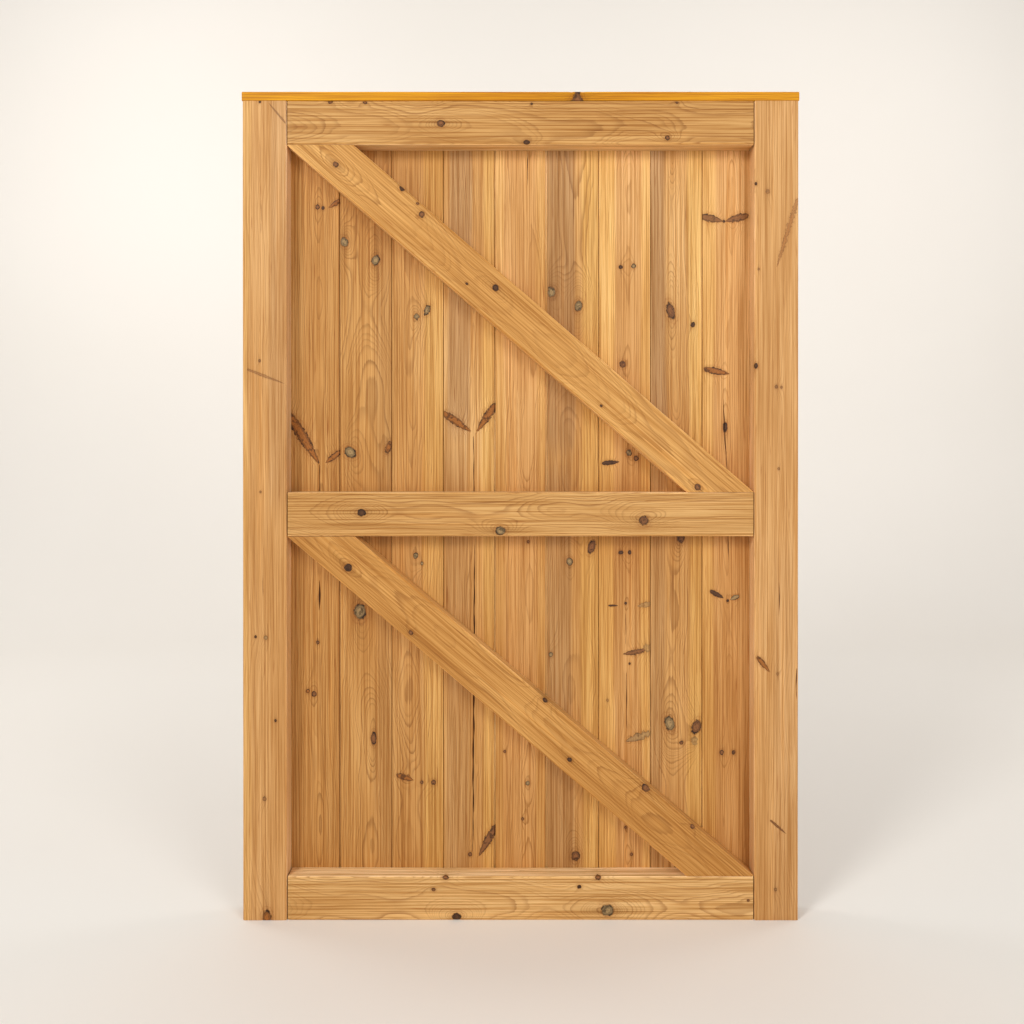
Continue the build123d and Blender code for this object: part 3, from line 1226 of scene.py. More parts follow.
@dataclass
class Rail(Timber):
    """A level member of the frame, shown from shoulder to shoulder."""

    slot: ClassVar[str] = "rail_timber"
    rebated: bool = False

    def painted_light(self, across: np.ndarray) -> np.ndarray:
        """The upper and lower sides are painted lighter, as painted light."""
        on_side = (across < SIDE_SKIN) | (across > self.size[2] - SIDE_SKIN)
        return np.where(on_side, PAINTED_SIDE_LIGHT, 1.0)

    def axes(self) -> Axes:
        """The start point and the directions along, across and through.

        Returns:
            The axes, which start at the latch stile's shoulder.
        """
        start = low_corner(self.node)
        start[0] = high_corner("latch_stile")[0] + SHOULDER_GAP
        return start, RIGHT, UP, INTO

    def ends(self) -> tuple[float, float]:
        """The two shoulders."""
        opening = low_corner("hinge_stile")[0] - high_corner("latch_stile")[0]
        return 0.0, opening - 2 * SHOULDER_GAP

    def corners(self) -> list[Corner]:
        """The corners of the section.

        Returns:
            The corners, with a rebate on the lower front where the rail has one.
        """
        _, deep, high = self.size
        back = [Corner(0, 0, ARRIS), Corner(high, 0, ARRIS), Corner(high, deep)]
        if self.rebated:
            return back + [Corner(TOP_REBATE, deep), Corner(TOP_REBATE, LEDGE_DEPTH),
                           Corner(0, LEDGE_DEPTH)]
        return back + [Corner(0, deep)]


@dataclass
class LongShoulder(Rail):
    """The front of the top rail at one end, which runs on into the stile's rebate."""

    at_hinge: bool = False   # whether it is the hinge stile's end

    @property
    def name(self) -> str:
        """The piece's name."""
        return f"{self.node}_{'hinge' if self.at_hinge else 'latch'}_shoulder"

    def ends(self) -> tuple[float, float]:
        """From inside the rail to just short of the rebate's wall.

        Returns:
            Where the shoulder starts and ends along the rail.
        """
        low, high = super().ends()
        if self.at_hinge:
            return high - SAWN_ARRIS, high + STILE_REBATE
        return low - STILE_REBATE, low + SAWN_ARRIS

    def corners(self) -> list[Corner]:
        """The corners of the section.

        Returns:
            The four corners, above and in front of the boards.
        """
        _, deep, high = self.size
        behind = LEDGE_DEPTH + CLEARANCE
        return [Corner(TOP_REBATE, behind), Corner(high, behind), Corner(high, deep),
                Corner(TOP_REBATE, deep)]


@dataclass
class Brace(Timber):
    """A diagonal that falls towards the hinge stile, cut level at both ends."""

    slot: ClassVar[str] = "brace_timber"
    width: float = 95.0
    rise: float = field(init=False)
    angle: float = field(init=False)     # of its middle line, from level, in radians

    def __post_init__(self) -> None:
        """Works out the brace's slope from the bay that it fills."""
        run, _, self.rise = self.size
        self.angle = math.atan2(self.rise, run) + math.asin(self.width / math.hypot(run, self.rise))
        self.shear = 1 / math.tan(self.angle)

    def painted_light(self, across: np.ndarray) -> np.ndarray:
        """The two long sides are painted lighter, as painted light."""
        return np.where(np.abs(across) > self.width / 2 - SIDE_SKIN, PAINTED_SIDE_LIGHT, 1.0)

    def axes(self) -> Axes:
        """The start point and the directions along, across and through.

        Returns:
            The axes, which start at the middle of the brace's back.
        """
        start = (low_corner(self.node) + high_corner(self.node)) / 2
        start[1] = low_corner(self.node)[1]
        sine, cosine = math.sin(self.angle), math.cos(self.angle)
        return start, np.array([cosine, 0, -sine]), np.array([sine, 0, cosine]), INTO

    def ends(self) -> tuple[float, float]:
        """The level cuts, on the centre line."""
        reach = self.rise / 2 / math.sin(self.angle)
        return -reach, reach

    def corners(self) -> list[Corner]:
        """The corners of the section.

        Returns:
            The four corners, with the back two rounded.
        """
        half = self.width / 2
        return [Corner(-half, 0, ARRIS), Corner(half, 0, ARRIS), Corner(half, LEDGE_DEPTH),
                Corner(-half, LEDGE_DEPTH)]


@dataclass
class Capping(Timber):
    """The thin board on top. Its across runs from back to front."""

    slot: ClassVar[str] = "capping_timber"

    def axes(self) -> Axes:
        """The start point and the directions along, across and through."""
        return low_corner(self.node), RIGHT, INTO, UP

    def ends(self) -> tuple[float, float]:
        """The two ends."""
        return 0.0, self.size[0]

    def corners(self) -> list[Corner]:
        """The corners of the section.

        Returns:
            The four corners, with the upper two rounded more.
        """
        _, deep, high = self.size
        return [Corner(0, 0, SAWN_ARRIS), Corner(deep, 0, SAWN_ARRIS), Corner(deep, high, ARRIS),
                Corner(0, high, ARRIS)]


@dataclass
class Board(Timber):
    """A tongue-and-groove board with its groove to the low side."""

    slot: ClassVar[str] = "board_timber"
    closes_with_one_face: ClassVar[bool] = True
    # Painted shade: boards are painted darker towards the foot and beside the middle rail
    foot: float = -0.09
    waist_light: float = -0.08
    has_tongue: bool = True

    def axes(self) -> Axes:
        """The start point and the directions along, across and through.

        Returns:
            The axes, which start at floor height.
        """
        start = low_corner(self.node)
        start[2] = 0.0
        return start, UP, RIGHT, INTO

    def ends(self) -> tuple[float, float]:
        """The board's foot and top."""
        return low_corner(self.node)[2], high_corner(self.node)[2]

    def painted_light(self, across: np.ndarray) -> np.ndarray:
        """A tongue is painted lighter, as painted light in its shaded gap."""
        on_tongue = across > self.size[0] - TONGUE_LENGTH + TONGUE_MARGIN
        return np.where(on_tongue & self.has_tongue, PAINTED_TONGUE_LIGHT, 1.0)

    def corners(self) -> list[Corner]:
        """The corners of the section.

        Returns:
            The corners, with tongue, V-joints and groove.
        """
        wide, deep, _ = self.size
        middle = TONGUE_MIDDLE
        tongue = []
        if self.has_tongue:
            wide -= TONGUE_LENGTH
            tongue = [Corner(wide, middle - TONGUE_HALF),
                      Corner(wide + TONGUE_LENGTH, middle - TONGUE_HALF),
                      Corner(wide + TONGUE_LENGTH, middle + TONGUE_HALF),
                      Corner(wide, middle + TONGUE_HALF)]
        groove = [Corner(0, middle + GROOVE_HALF), Corner(GROOVE_DEPTH, middle + GROOVE_HALF),
                  Corner(GROOVE_DEPTH, middle - GROOVE_HALF), Corner(0, middle - GROOVE_HALF)]
        return [Corner(0, 0, SAWN_ARRIS), Corner(wide, 0, SAWN_ARRIS), *tongue,
                Corner(wide, deep - V_JOINT), Corner(wide - V_JOINT, deep), Corner(V_JOINT, deep),
                Corner(0, deep - V_JOINT), *groove]


BLACK, BROWN, RUSSET, GREY = KnotTone.BLACK, KnotTone.BROWN, KnotTone.RUSSET, KnotTone.GREY
HEART, SAP = Wood.HEART, Wood.SAP


@dataclass
class Framework:
    """The stiles, rails, braces and capping."""

    upright: SoftwoodFinish = SoftwoodFinish((202, 152, 94), (152, 100, 50), contrast=0.45, grain=0.36)
    level: SoftwoodFinish = SoftwoodFinish((202, 155, 94), (140, 90, 42), contrast=0.62)
    diagonal: SoftwoodFinish = SoftwoodFinish((200, 147, 80), (146, 94, 42), contrast=0.5, grain=0.40)
    amber: SoftwoodFinish = SoftwoodFinish((196, 130, 14), (150, 86, 6), contrast=0.5)

    def build(self) -> list[Piece]:
        """Builds every member of the frame."""
        timbers = [*self.stiles(), *self.rails(), *self.braces(), self.capping()]
        return [timber.build() for timber in timbers]

    def stiles(self) -> list[Timber]:
        """Chooses the two uprights.

        Returns:
            The latch stile and the hinge stile.
        """
        latch = Stile("latch_stile", self.upright, Growth(3, -60, 64, 3.6, lean_through=14),
                      shade=0.96, top_light=0.04, foot=-0.03,
                      knots=[Spike(1722, 93, 1.8, BROWN, swirl=0.6, faint=0.45, tip=(1766, 56)),
                             Knot(1767, 38, 2.4, BLACK), Knot(1209, 37, 2.6, faint=0.3),
                             Spike(1190, 12, 2.6, BROWN, swirl=0.8, faint=0.5, tip=(1160, 90)),
                             Knot(926, 39, 2.4, faint=0.3), Knot(613, 28, 2.6, BLACK),
                             Knot(611, 50, 4, GREY, faint=0.4), Knot(432, 71, 2.8, BLACK),
                             Knot(263, 47, 4, faint=0.4), Knot(6, 52, 9, RUSSET, stretch=1.7)],
                      checks=[Check(1480, 1560, 40, 1.0, 0.6), Check(700, 742, 44, 1.2, 0.8)],
                      stripes=[Stripe(58, 110, HEART, 0.40, start=900), Stripe(-10, 14, SAP, 0.6)])
        hinge = Stile("hinge_stile", self.upright,
                      Growth(8, 158, 70, 3.6, lean_through=-12), inner_is_low=True, foot=-0.06,
                      knots=[Knot(1574, 28, 4.5, RUSSET, faint=0.5), Knot(1591, 2, 3.4, BLACK),
                             Knot(1407, 9, 2.4, faint=0.4),
                             Spike(1556, 92, 4.6, RUSSET, swirl=0.4, ragged=1.3, faint=0.5, tip=(1412, 48)),
                             Knot(1198, 2, 5, BLACK), Knot(1153, 47, 3.6, faint=0.3),
                             Knot(1152, 58, 2.6, faint=0.3), Knot(976, 52, 2.6, faint=0.4),
                             Spike(568, 8, 5.0, RUSSET, tip=(538, 32)), Knot(533, 50, 3, faint=0.5),
                             Spike(216, 36, 2.2, BROWN, tip=(188, 68)), Knot(67, 46, 3.4, faint=0.5)],
                      checks=[Check(660, 730, 54, 2.2, 1.6), Check(480, 560, 91, 2.4, 1.8)],
                      stripes=[Stripe(40, 110, HEART, 0.25, end=800)])
        return [latch, hinge]

    def rails(self) -> list[Timber]:
        """Chooses the three level members.

        Returns:
            The rails, with the top rail's two long shoulders.
        """
        log = Growth(12, 38, 70, 3.0, lean_through=34)
        shoulders = [LongShoulder("top_rail", self.level, log, shade=0.88, at_hinge=side)
                     for side in (False, True)]
        top = Rail("top_rail", self.level, log, rebated=True, shade=0.88,
                   knots=[Knot(93, 93, 4.5), Knot(168, 91, 3.6), Knot(331, 46, 7, BROWN, swirl=1.7),
                          Knot(527, 88, 2.4, BLACK), Knot(516, 5, 5.5, BLACK), Knot(840, 91, 2.8),
                          Knot(820, 15, 5.2, BROWN, stretch=0.95)])
        middle = Rail("middle_rail", self.level, Growth(17, 56, 62, 3.2, lean_through=-36),
                      shade=0.93,
                      knots=[Knot(160, 51, 7.5, BLACK, swirl=1.8), Knot(460, 12, 9, GREY, swirl=1.8),
                             Knot(769, 34, 9.5, BROWN, stretch=1.05, swirl=1.5)])
        bottom = Rail("bottom_rail", self.level, Growth(23, 30, 66, 3.1, lean_through=30),
                      shade=1.04,
                      knots=[Knot(341, 94, 6, BROWN), Knot(315, 67, 3.8, BROWN),
                             Knot(365, 8, 8, BLACK, swirl=2.4), Knot(671, 94, 6),
                             Knot(630, 73, 4.2, BLACK), Knot(691, 22, 12, GREY, stretch=1.1, swirl=1.4),
                             Knot(995, 43, 2.8)])
        return [top, *shoulders, middle, bottom]

    def braces(self) -> list[Timber]:
        """Chooses the two diagonals.

        Returns:
            The upper and the lower brace.
        """
        upper = Brace("upper_brace", self.diagonal, Growth(31, -8, 80, 3.3, lean_through=44),
                      knots=[Knot(-519, -10, 5.5), Knot(-377, 46, 6, BLACK), Knot(-330, 42, 2.8),
                             Knot(-308, 30, 6.5, BROWN, stretch=0.95), Knot(-137, -19, 2.6, BLACK),
                             Knot(-84, 15, 6.5, BLACK, swirl=1.4), Knot(255, -28, 2.6, BLACK),
                             Knot(527, -24, 6.2, BROWN)])
        lower = Brace("lower_brace", self.diagonal, Growth(37, 6, 74, 3.4, lean_through=-40),
                      shade=0.88,
                      knots=[Knot(-478, -13, 8.2, BLACK, stretch=1.0, swirl=1.2), Knot(-284, -32, 4.2),
                             Knot(32, 47, 6, BLACK), Knot(155, -19, 4.4, BLACK), Knot(320, 42, 7.6),
                             Knot(451, 44, 4.6)])
        return [upper, lower]

    def capping(self) -> Timber:
        """Chooses the capping and seats its screws.

        Returns:
            The capping.
        """
        start = low_corner("top_capping")
        seats = [Seat(x - start[0], y - start[1], radius=5.3, depth=3.7)
                 for x, y in heads("capping_screws", axis=2)]
        return Capping("top_capping", self.amber, Growth(41, 30, 90, 3.0),
                       shade=1.2, knots=[Knot(724, 2, 12, BROWN, stretch=1.1), Knot(205, 30, 5),
                                         Knot(990, 52, 6)],
                       seats=seats)


@dataclass
class Boarding:
    """The nine tongue-and-groove boards, each with its own knots and stripes."""

    tan: SoftwoodFinish = SoftwoodFinish((192, 140, 78), (126, 80, 36), contrast=0.55, grain=0.44)
    pale: SoftwoodFinish = SoftwoodFinish((198, 147, 86), (134, 86, 42), contrast=0.55, grain=0.44)
    bright: SoftwoodFinish = SoftwoodFinish((206, 154, 94), (148, 96, 42), contrast=0.50, grain=0.42)

    def build(self) -> list[Piece]:
        """Builds the boards from the latch side to the hinge side."""
        boards = [*self.latch_side(), *self.middle(), *self.hinge_side()]
        return [board.build() for board in boards]

    def latch_side(self) -> list[Timber]:
        """Chooses the three boards by the latch stile.

        Returns:
            Boards 1 to 3.
        """
        return [
            Board("board_1", self.tan, Growth(51, 68, -14, 3.4, lean_across=4),
                  shade=0.98,
                  knots=[Knot(1551, 68.6, 4.5), Knot(1549, 80.6, 3.4, BLACK),
                         Spike(1566, 117.6, 5, RUSSET, tip=(1550, 94.6)),
                         Spike(1090, 8.6, 11, RUSSET, swirl=0.9, tip=(988, 70.6)),
                         Spike(1012, 117.6, 6, RUSSET, swirl=0.8, tip=(988, 86.6)),
                         Knot(592, 68.6, 3.4), Knot(484, 46.6, 4, RUSSET), Knot(478, 60.6, 5, BROWN)],
                  checks=[Check(668, 728, 72.6, 5.4, 3.6), Check(880, 986, 72.6, 2.2, 2.0)]),
            Board("board_2", self.tan, Growth(57, 64, 48, 3.2, lean_through=30),
                  shade=0.99, top_light=-0.14,
                  knots=[Knot(1474, 9, 8, GREY, stretch=1.3, swirl=1.6, tilt=-25),
                         Knot(1434, 78, 8.5, GREY, stretch=1.3, swirl=2.2, tilt=20),
                         Knot(1011, 22, 10.5, GREY, stretch=1.3, swirl=1.4, tilt=-50),
                         Knot(1022, 106, 6, RUSSET, stretch=2.2, ragged=0.5, tilt=20),
                         Knot(660, 43, 12.5, GREY, stretch=1.35, swirl=1.2),
                         Knot(380, 73, 6, BROWN, stretch=2.2, swirl=2.2)],
                  stripes=[Stripe(78, 125, HEART, 0.35)]),
            Board("board_3", self.pale, Growth(63, 40, 60, 3.2, lean_through=-30),
                  shade=0.98, top_light=-0.12, foot=-0.12,
                  knots=[Knot(1310, 54, 6, GREY, swirl=1.4, ragged=0.5),
                         Knot(1324, 77, 6, GREY, stretch=1.8, ragged=0.5, tilt=20),
                         Knot(783, 52, 5.5, GREY), Knot(766, 66, 3.2, GREY),
                         Spike(298, 14, 6, RUSSET, tip=(288, 46)), Knot(283, 65, 3.2),
                         Knot(283, 91, 5)],
                  stripes=[Stripe(70, 125, SAP, 0.7)]),
        ]

    def middle(self) -> list[Timber]:
        """Chooses the three boards in the middle.

        Returns:
            Boards 4 to 6.
        """
        return [
            Board("board_4", self.pale, Growth(69, 66, 4, 3.2, lean_across=-5),
                  shade=1.03,
                  knots=[Spike(1096, 2, 8, RUSSET, tip=(1058, 58)),
                         Spike(1114, 112, 8, RUSSET, tip=(1058, 74)),
                         Spike(182, 112, 8, BROWN, tip=(122, 78)), Knot(124, 58, 4)],
                  checks=[Check(130, 800, 64, 4.6, 3.6, drift=4), Check(838, 1052, 66, 2.6, 2.4)],
                  stripes=[Stripe(10, 60, HEART, 0.9, start=1040), Stripe(4, 56, HEART, 0.45, end=1040),
                           Stripe(86, 125, SAP, 0.8)]),
            Board("board_5", self.bright, Growth(75, 70, 20, 3.4, lean_across=6),
                  shade=0.93, top_light=0.14,
                  knots=[Knot(814, 72, 3.2), Knot(351, 20, 3), Knot(281, 71, 4.5, GREY),
                         Knot(202, 60, 3)],
                  checks=[Check(1606, 1670, 71, 2.4, 1.8)],
                  stripes=[Stripe(-10, 20, SAP, 0.5), Stripe(92, 125, SAP, 0.5)]),
            Board("board_6", self.pale, Growth(81, 54, 58, 3.2, lean_through=24),
                  shade=0.98,
                  knots=[Knot(1364, 9, 9, GREY, swirl=1.5, ragged=0.5),
                         Knot(1333, 69, 8, GREY, stretch=1.4, swirl=2.4, tilt=8),
                         Knot(803, 98, 8, BROWN, stretch=1.8, swirl=1.2, tilt=18),
                         Knot(770, 49, 6.5, GREY, stretch=1.3, swirl=2.0, tilt=-15),
                         Knot(565, 8, 4.5, GREY), Knot(120, 63, 9, BROWN, swirl=2.0)],
                  stripes=[Stripe(-10, 60, HEART, 1.0, start=1000),
                           Stripe(-10, 56, HEART, 0.75, end=1000), Stripe(76, 125, SAP, 0.9)]),
        ]

    def hinge_side(self) -> list[Timber]:
        """Chooses the three boards by the hinge stile; the last has lost its tongue.

        Returns:
            Boards 7 to 9.
        """
        return [
            Board("board_7", self.bright, Growth(87, 60, 14, 3.4, lean_across=5),
                  shade=0.98, top_light=0.12, foot=-0.15, waist_light=-0.22,
                  knots=[Knot(1419, 48, 4.6, BLACK, stretch=0.9), Knot(1421, 76, 4.6, GREY),
                         Knot(1205, 52, 6.5, BROWN), Spike(987, 10, 5, BLACK, tip=(990, 44)),
                         Knot(1010, 66, 6, GREY), Knot(998, 82, 5, BROWN),
                         Knot(790, 48, 5.5, BLACK, stretch=0.8), Knot(790, 68, 4, BLACK),
                         Spike(673, 22, 2.2, BLACK, tip=(673, 42)), Knot(678, 59, 2.8, BLACK),
                         Spike(677, 112, 6, GREY, faint=0.5, tip=(672, 86)),
                         Spike(574, 98, 5.5, BROWN, ragged=0.7, tip=(566, 54)),
                         Knot(580, 106, 8, GREY, ragged=0.7, faint=0.6), Knot(545, 68, 2.4, BLACK),
                         Knot(464, 19, 3, faint=0.5),
                         Spike(390, 108, 8, GREY, ragged=0.7, faint=0.35, tip=(374, 60)),
                         Knot(183, 59, 2.8), Knot(124, 72, 3.4)],
                  checks=[Check(400, 528, 61, 2.4, 1.4), Check(585, 660, 59, 1.4, 1.0)],
                  stripes=[Stripe(-10, 34, SAP, 1.0), Stripe(92, 125, SAP, 0.8)]),
            Board("board_8", self.pale, Growth(93, 50, 56, 3.1, lean_through=-30),
                  shade=1.01, top_light=0.10,
                  knots=[Knot(1322, 44, 8.5, BROWN, stretch=2.1, swirl=1.6, tilt=-14),
                         Knot(1292, 93, 4.6, BLACK, stretch=1.3, tilt=14),
                         Knot(822, 66, 8, BROWN, stretch=1.3, swirl=2.0),
                         Knot(413, 42, 10.5, GREY, stretch=1.55, swirl=1.2, tilt=-20),
                         Knot(405, 101, 10, BROWN, stretch=1.5, swirl=1.2, tilt=22),
                         Knot(371, 68, 4, BROWN), Knot(374, 96, 7, GREY, ragged=0.7, faint=0.55)],
                  stripes=[Stripe(-10, 34, HEART, 1.0, start=1000),
                           Stripe(-10, 30, HEART, 0.6, end=1000), Stripe(84, 125, SAP, 0.9)]),
            Board("board_9", self.bright, Growth(99, 50, 10, 3.4, lean_across=6),
                  shade=0.95, top_light=0.08, foot=-0.12, has_tongue=False,
                  knots=[Spike(1530, 0, 8, BROWN, faint=0.1, tip=(1520, 44)),
                         Spike(1532, 96, 8, BROWN, faint=0.1, tip=(1520, 52)),
                         Knot(1520, 47, 2.6, BLACK), Spike(1194, 8, 7, RUSSET, tip=(1184, 58)),
                         Knot(1066, 50, 5, BLACK, stretch=2.2), Spike(704, 20, 5, BLACK, tip=(690, 46)),
                         Knot(684, 56, 2.8, BLACK), Spike(694, 78, 5, GREY, tip=(686, 62)),
                         Knot(349, 43, 4.5), Knot(349, 69, 4.2)],
                  checks=[Check(975, 1118, 54, 2.8, 2.4, drift=-8), Check(770, 830, 57, 2.4, 2.0)],
                  stripes=[Stripe(-10, 26, SAP, 0.8)]),
        ]


def heads(node: str, axis: int) -> list[tuple[float, float]]:
    """Where the heads of a group of fixings are.

    Args:
        node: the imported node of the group.
        axis: the axis that the heads face along, with its highest end outwards.

    Returns:
        Each head's middle in the other two axes, in millimetres.
    """
    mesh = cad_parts[node].data
    places = np.empty(len(mesh.vertices) * 3)
    mesh.vertices.foreach_get("co", places)
    places = places.reshape(-1, 3) / MM
    outer = places[places[:, axis] > places[:, axis].max() - FLUSH]
    flat = np.delete(outer, axis, axis=1)
    groups: list[list[np.ndarray]] = []
    for point in flat[np.lexsort((flat[:, 1], flat[:, 0]))]:
        near = [g for g in groups if np.hypot(*(g[0] - point)) < WIDEST_HEAD]
        if near:
            near[0].append(point)
        else:
            groups.append([point])
    return [tuple((np.max(g, 0) + np.min(g, 0)) / 2) for g in groups]


@dataclass(frozen=True)
class Ring:
    """One ring of a turned fixing: its depth below the head, its radius and its squareness."""

    depth: float
    radius: float
    square: float = 0.0
    twist: float = 0.0   # how far the ring climbs in one turn, as a thread does


@dataclass
class Fixings:
    """The nails, pegs and capping screws."""

    sides: int = 20
    nail_length: float = 50.0
    peg_length: float = 60.0
    screw_length: float = 60.0
    zinc: MetalFinish = MetalFinish((176, 176, 172), (128, 128, 126))
    plate: MetalFinish = MetalFinish((196, 188, 160), (150, 146, 130))
    hardwood: PegFinish = PegFinish()

    def build(self) -> list[Piece]:
        """Builds one piece for each group of fixings.

        Returns:
            The pieces.
        """
        pieces = []
        for member in ("top_rail", "middle_rail", "bottom_rail", "upper_brace", "lower_brace"):
            pieces.append(self.group(f"nails_{member}", self.nail(), self.zinc, 1))
        pieces.append(self.group("tenon_pegs", self.peg(), self.hardwood, 1))
        pieces.append(self.group("capping_screws", self.screw(), self.plate, 2))
        return pieces

    def nail(self) -> list[Ring]:
        """A domed head with a rim, a neck with grip rings, a plain shank and a point.

        Returns:
            The rings, from the middle of the head to the point.
        """
        head = [Ring(0.0, 0.6), Ring(0.02, 1.5), Ring(0.08, 2.3), Ring(0.22, 2.8), Ring(0.5, 3.0),
                Ring(0.85, 2.95), Ring(1.1, 2.6), Ring(1.2, 1.6)]
        shank, groove = 1.4, 1.25
        grips = [Ring(2.0 + 0.7 * n, shank if n % 2 else groove) for n in range(8)]
        return head + grips + [Ring(self.nail_length - 5.0, shank), Ring(self.nail_length - 1.5, 0.8),
                               Ring(self.nail_length, 0.1)]

    def peg(self) -> list[Ring]:
        """A round peg, planed flush in front and chamfered where it is driven in.

        Returns:
            The rings, from the front end to the hidden one.
        """
        return [Ring(0.0, 1.5), Ring(0.02, 3.4), Ring(0.05, 4.7), Ring(0.35, 5.0), Ring(8.0, 4.98),
                Ring(self.peg_length * 0.5, 5.0), Ring(self.peg_length - 3.0, 4.95),
                Ring(self.peg_length - 0.2, 3.9), Ring(self.peg_length, 2.0)]

    def screw(self) -> list[Ring]:
        """A countersunk screw with a square socket and a thread.

        Returns:
            The rings, from the middle of the socket to the point.
        """
        socket = [Ring(1.6, 0.7, 1.0), Ring(1.6, 1.5, 1.0), Ring(0.1, 1.5, 1.0), Ring(0.0, 1.7, 0.7)]
        head = [Ring(0.0, 4.7), Ring(0.15, 4.95), Ring(0.5, 4.6), Ring(3.0, 2.5), Ring(20.0, 2.4)]
        first, turns, pitch = 22.0, 14, 2.4
        root, crest = 1.75, 2.5
        thread = []
        for turn in range(turns):
            depth = first + pitch * turn
            for share, radius in ((0.0, root), (0.45, root), (0.7, crest), (0.8, crest)):
                thread.append(Ring(depth + share * pitch, radius, twist=pitch))
        return socket + head + thread + [Ring(self.screw_length - 0.1, 0.15)]

    def group(self, node: str, rings: list[Ring], finish: MetalFinish | PegFinish,
              axis: int) -> Piece:
        """Turns one fixing and repeats it at each of the group's places.

        Args:
            node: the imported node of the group.
            rings: the fixing's profile, from the middle of its head to its tip.
            finish: its finish.
            axis: the axis that the heads face along.

        Returns:
            The piece.
        """
        turns = np.arange(self.sides) / self.sides
        around = np.stack([np.cos(2 * np.pi * turns), np.sin(2 * np.pi * turns)], -1)
        squared = around / np.abs(around).max(1, keepdims=True)
        loops = []
        for ring in rings:
            flat = ring.radius * ((1 - ring.square) * around + ring.square * squared)
            loops.append(np.column_stack([flat, -(ring.depth + ring.twist * turns)]))
        one = np.concatenate(loops)
        others = [n for n in range(3) if n != axis]
        top = high_corner(node)[axis]
        points, faces = [], []
        for place in heads(node, axis):
            moved = np.empty_like(one)
            moved[:, others] = one[:, :2] + np.array(place)
            moved[:, axis] = top + one[:, 2]
            faces += self.faces(len(rings), len(points) * len(one), axis == 1)
            points.append(moved)
        mesh = bpy.data.meshes.new(node)
        mesh.from_pydata(np.concatenate(points) * MM, [], faces)
        mesh.shade_smooth()
        mesh.set_sharp_from_angle(angle=SHARP_METAL)
        return place_piece(f"{node}_turned", mesh, finish.material(f"{node}_finish"), node)

    def faces(self, rings: int, first: int, mirrored: bool) -> list[Face]:
        """Joins one fixing's rings.

        Args:
            rings: how many rings there are.
            first: the number of its first point.
            mirrored: whether the plain order of corners would face inwards.

        Returns:
            The faces, with one at each end.
        """
        sides = self.sides
        made = []
        for ring in range(rings - 1):
            for side in range(sides):
                here, after = ring * sides + side, ring * sides + (side + 1) % sides
                made.append((here, here + sides, after + sides, after))
        made.append(tuple(range(sides)))
        made.append(tuple(range(rings * sides - 1, (rings - 1) * sides - 1, -1)))
        if mirrored:
            made = [face[::-1] for face in made]
        return [tuple(first + corner for corner in face) for face in made]


@dataclass(frozen=True)
class Lamp:
    """One soft area lamp, in metres and watts."""

    name: str
    place: Triple
    aim: Triple
    size: float
    power: float
    colour: Triple


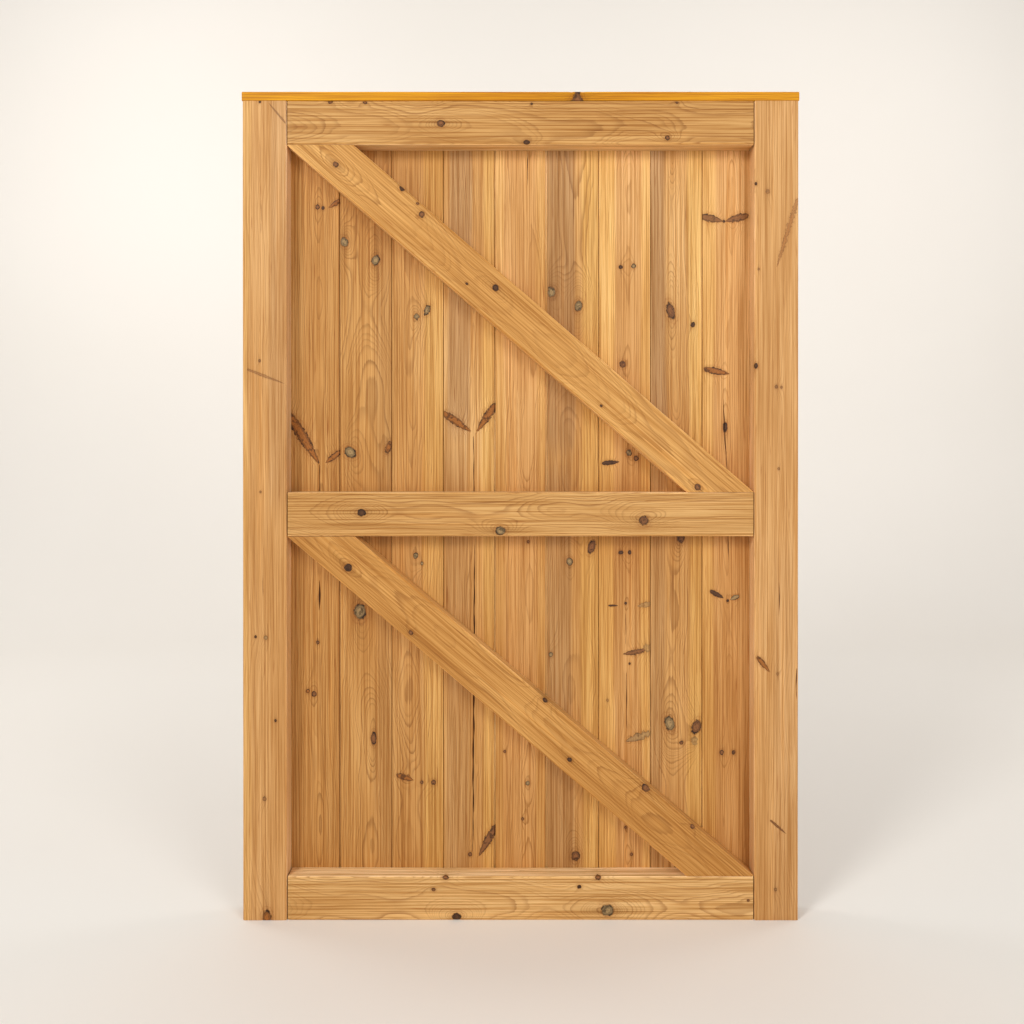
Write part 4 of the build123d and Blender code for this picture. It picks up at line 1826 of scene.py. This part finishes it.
@dataclass
class Studio:
    """The floor and backdrop, the soft lamps and the camera, in metres."""

    camera_distance: float = 2.119    # from the leaf's back face
    camera_height: float = 1.04
    camera_side: float = -0.0184
    camera_dip: float = 0.147         # how far the camera looks down, in degrees
    lens: float = 34.526
    sensor: float = 36.0
    shift: float = -0.0687
    floor_front: float = -9.0
    wall: float = 4.4
    sweep: float = 1.6
    half_width: float = 9.0
    wall_height: float = 7.0
    sweep_steps: int = 24
    paint: Triple = (244, 241, 236)
    scuff: Triple = (226, 214, 200)
    sky: Triple = (1.0, 0.975, 0.94)
    sky_strength: float = 0.34
    lamps: tuple[Lamp, ...] = (
        Lamp("key_lamp", (-3.0, -4.2, 3.6), (0.0, 0.0, 1.0), 1.8, 164.0, (1.0, 0.985, 0.96)),
        Lamp("fill_lamp", (2.4, -4.0, 2.2), (0.0, 0.0, 1.0), 2.2, 83.0, (1.0, 0.985, 0.97)),
        Lamp("low_lamp", (0.3, -2.7, 0.3), (0.0, 0.0, 1.4), 1.6, 6.0, (1.0, 0.985, 0.97)),
        Lamp("left_wall_lamp", (-2.7, 1.2, 3.6), (-1.6, 4.4, 1.2), 2.0, 52.0, (1.0, 0.955, 0.915)),
        Lamp("right_wall_lamp", (2.7, 1.2, 3.6), (1.6, 4.4, 1.2), 2.0, 45.0, (1.0, 0.945, 0.90)),
    )

    def build(self) -> None:
        """Sets up the whole studio."""
        self.backdrop()
        self.light()
        self.camera()

    def backdrop(self) -> None:
        """A pale floor that sweeps up into a wall behind the leaf."""
        turn = [math.pi / 2 * n / self.sweep_steps for n in range(self.sweep_steps + 1)]
        line = [(self.floor_front, 0.0)]
        line += [(self.wall - self.sweep + self.sweep * math.sin(t), self.sweep * (1 - math.cos(t)))
                 for t in turn]
        line.append((self.wall, self.wall_height))
        points = [(side * self.half_width, y, z) for y, z in line for side in (-1, 1)]
        faces = [(2 * n, 2 * n + 1, 2 * n + 3, 2 * n + 2) for n in range(len(line) - 1)]
        mesh = bpy.data.meshes.new("studio_floor")
        mesh.from_pydata(points, [], faces)
        mesh.shade_smooth()
        floor = bpy.data.objects.new("studio_floor", mesh)
        bpy.context.scene.collection.objects.link(floor)
        recipe = Recipe("studio_paint")
        mottle = recipe.noise(recipe.node("ShaderNodeTexCoord").outputs["Object"], scale=0.7, detail=2.0)
        colour = recipe.blend(recipe.remap(mottle, 0.3, 0.7, 0.0, 0.05), from_screen(self.paint),
                              from_screen(self.scuff))
        mesh.materials.append(recipe.surface(colour, 0.9, mottle, 0.0001, specular=0.1))

    def light(self) -> None:
        """The lamps and the even light from all round."""
        for lamp in self.lamps:
            data = bpy.data.lights.new(lamp.name, "AREA")
            data.shape = "DISK"
            data.size, data.energy, data.color = lamp.size, lamp.power, lamp.colour
            holder = bpy.data.objects.new(lamp.name, data)
            holder.location = lamp.place
            holder.visible_camera = False
            way = Vector(lamp.aim) - Vector(lamp.place)
            holder.rotation_euler = way.to_track_quat("-Z", "Y").to_euler()
            bpy.context.scene.collection.objects.link(holder)
        world = bpy.data.worlds.new("studio_air")
        world.use_nodes = True
        air = world.node_tree.nodes["Background"]
        air.inputs["Color"].default_value = (*self.sky, 1.0)
        air.inputs["Strength"].default_value = self.sky_strength
        bpy.context.scene.world = world

    def camera(self) -> None:
        """The camera, nearly level and square to the braced back, a little above its middle."""
        data = bpy.data.cameras.new("studio_camera")
        data.sensor_width = self.sensor
        data.lens, data.shift_y = self.lens, self.shift
        holder = bpy.data.objects.new("studio_camera", data)
        back = low_corner("middle_rail")[1] * MM
        holder.location = (self.camera_side, back - self.camera_distance, self.camera_height)
        holder.rotation_euler = (math.pi / 2 - math.radians(self.camera_dip), 0.0, 0.0)
        bpy.context.scene.collection.objects.link(holder)
        bpy.context.scene.camera = holder
        bpy.context.scene.view_settings.view_transform = "Standard"


def main() -> None:
    """Builds the studio and every piece of the leaf."""
    logging.basicConfig(level=logging.INFO, format="%(name)s %(message)s")
    Studio().build()
    pieces = [*Framework().build(), *Boarding().build(), *Fixings().build()]
    LOG.info("%d pieces, %d faces", len(pieces), sum(len(piece.data.polygons) for piece in pieces))


if __name__ == "__main__":
    main()
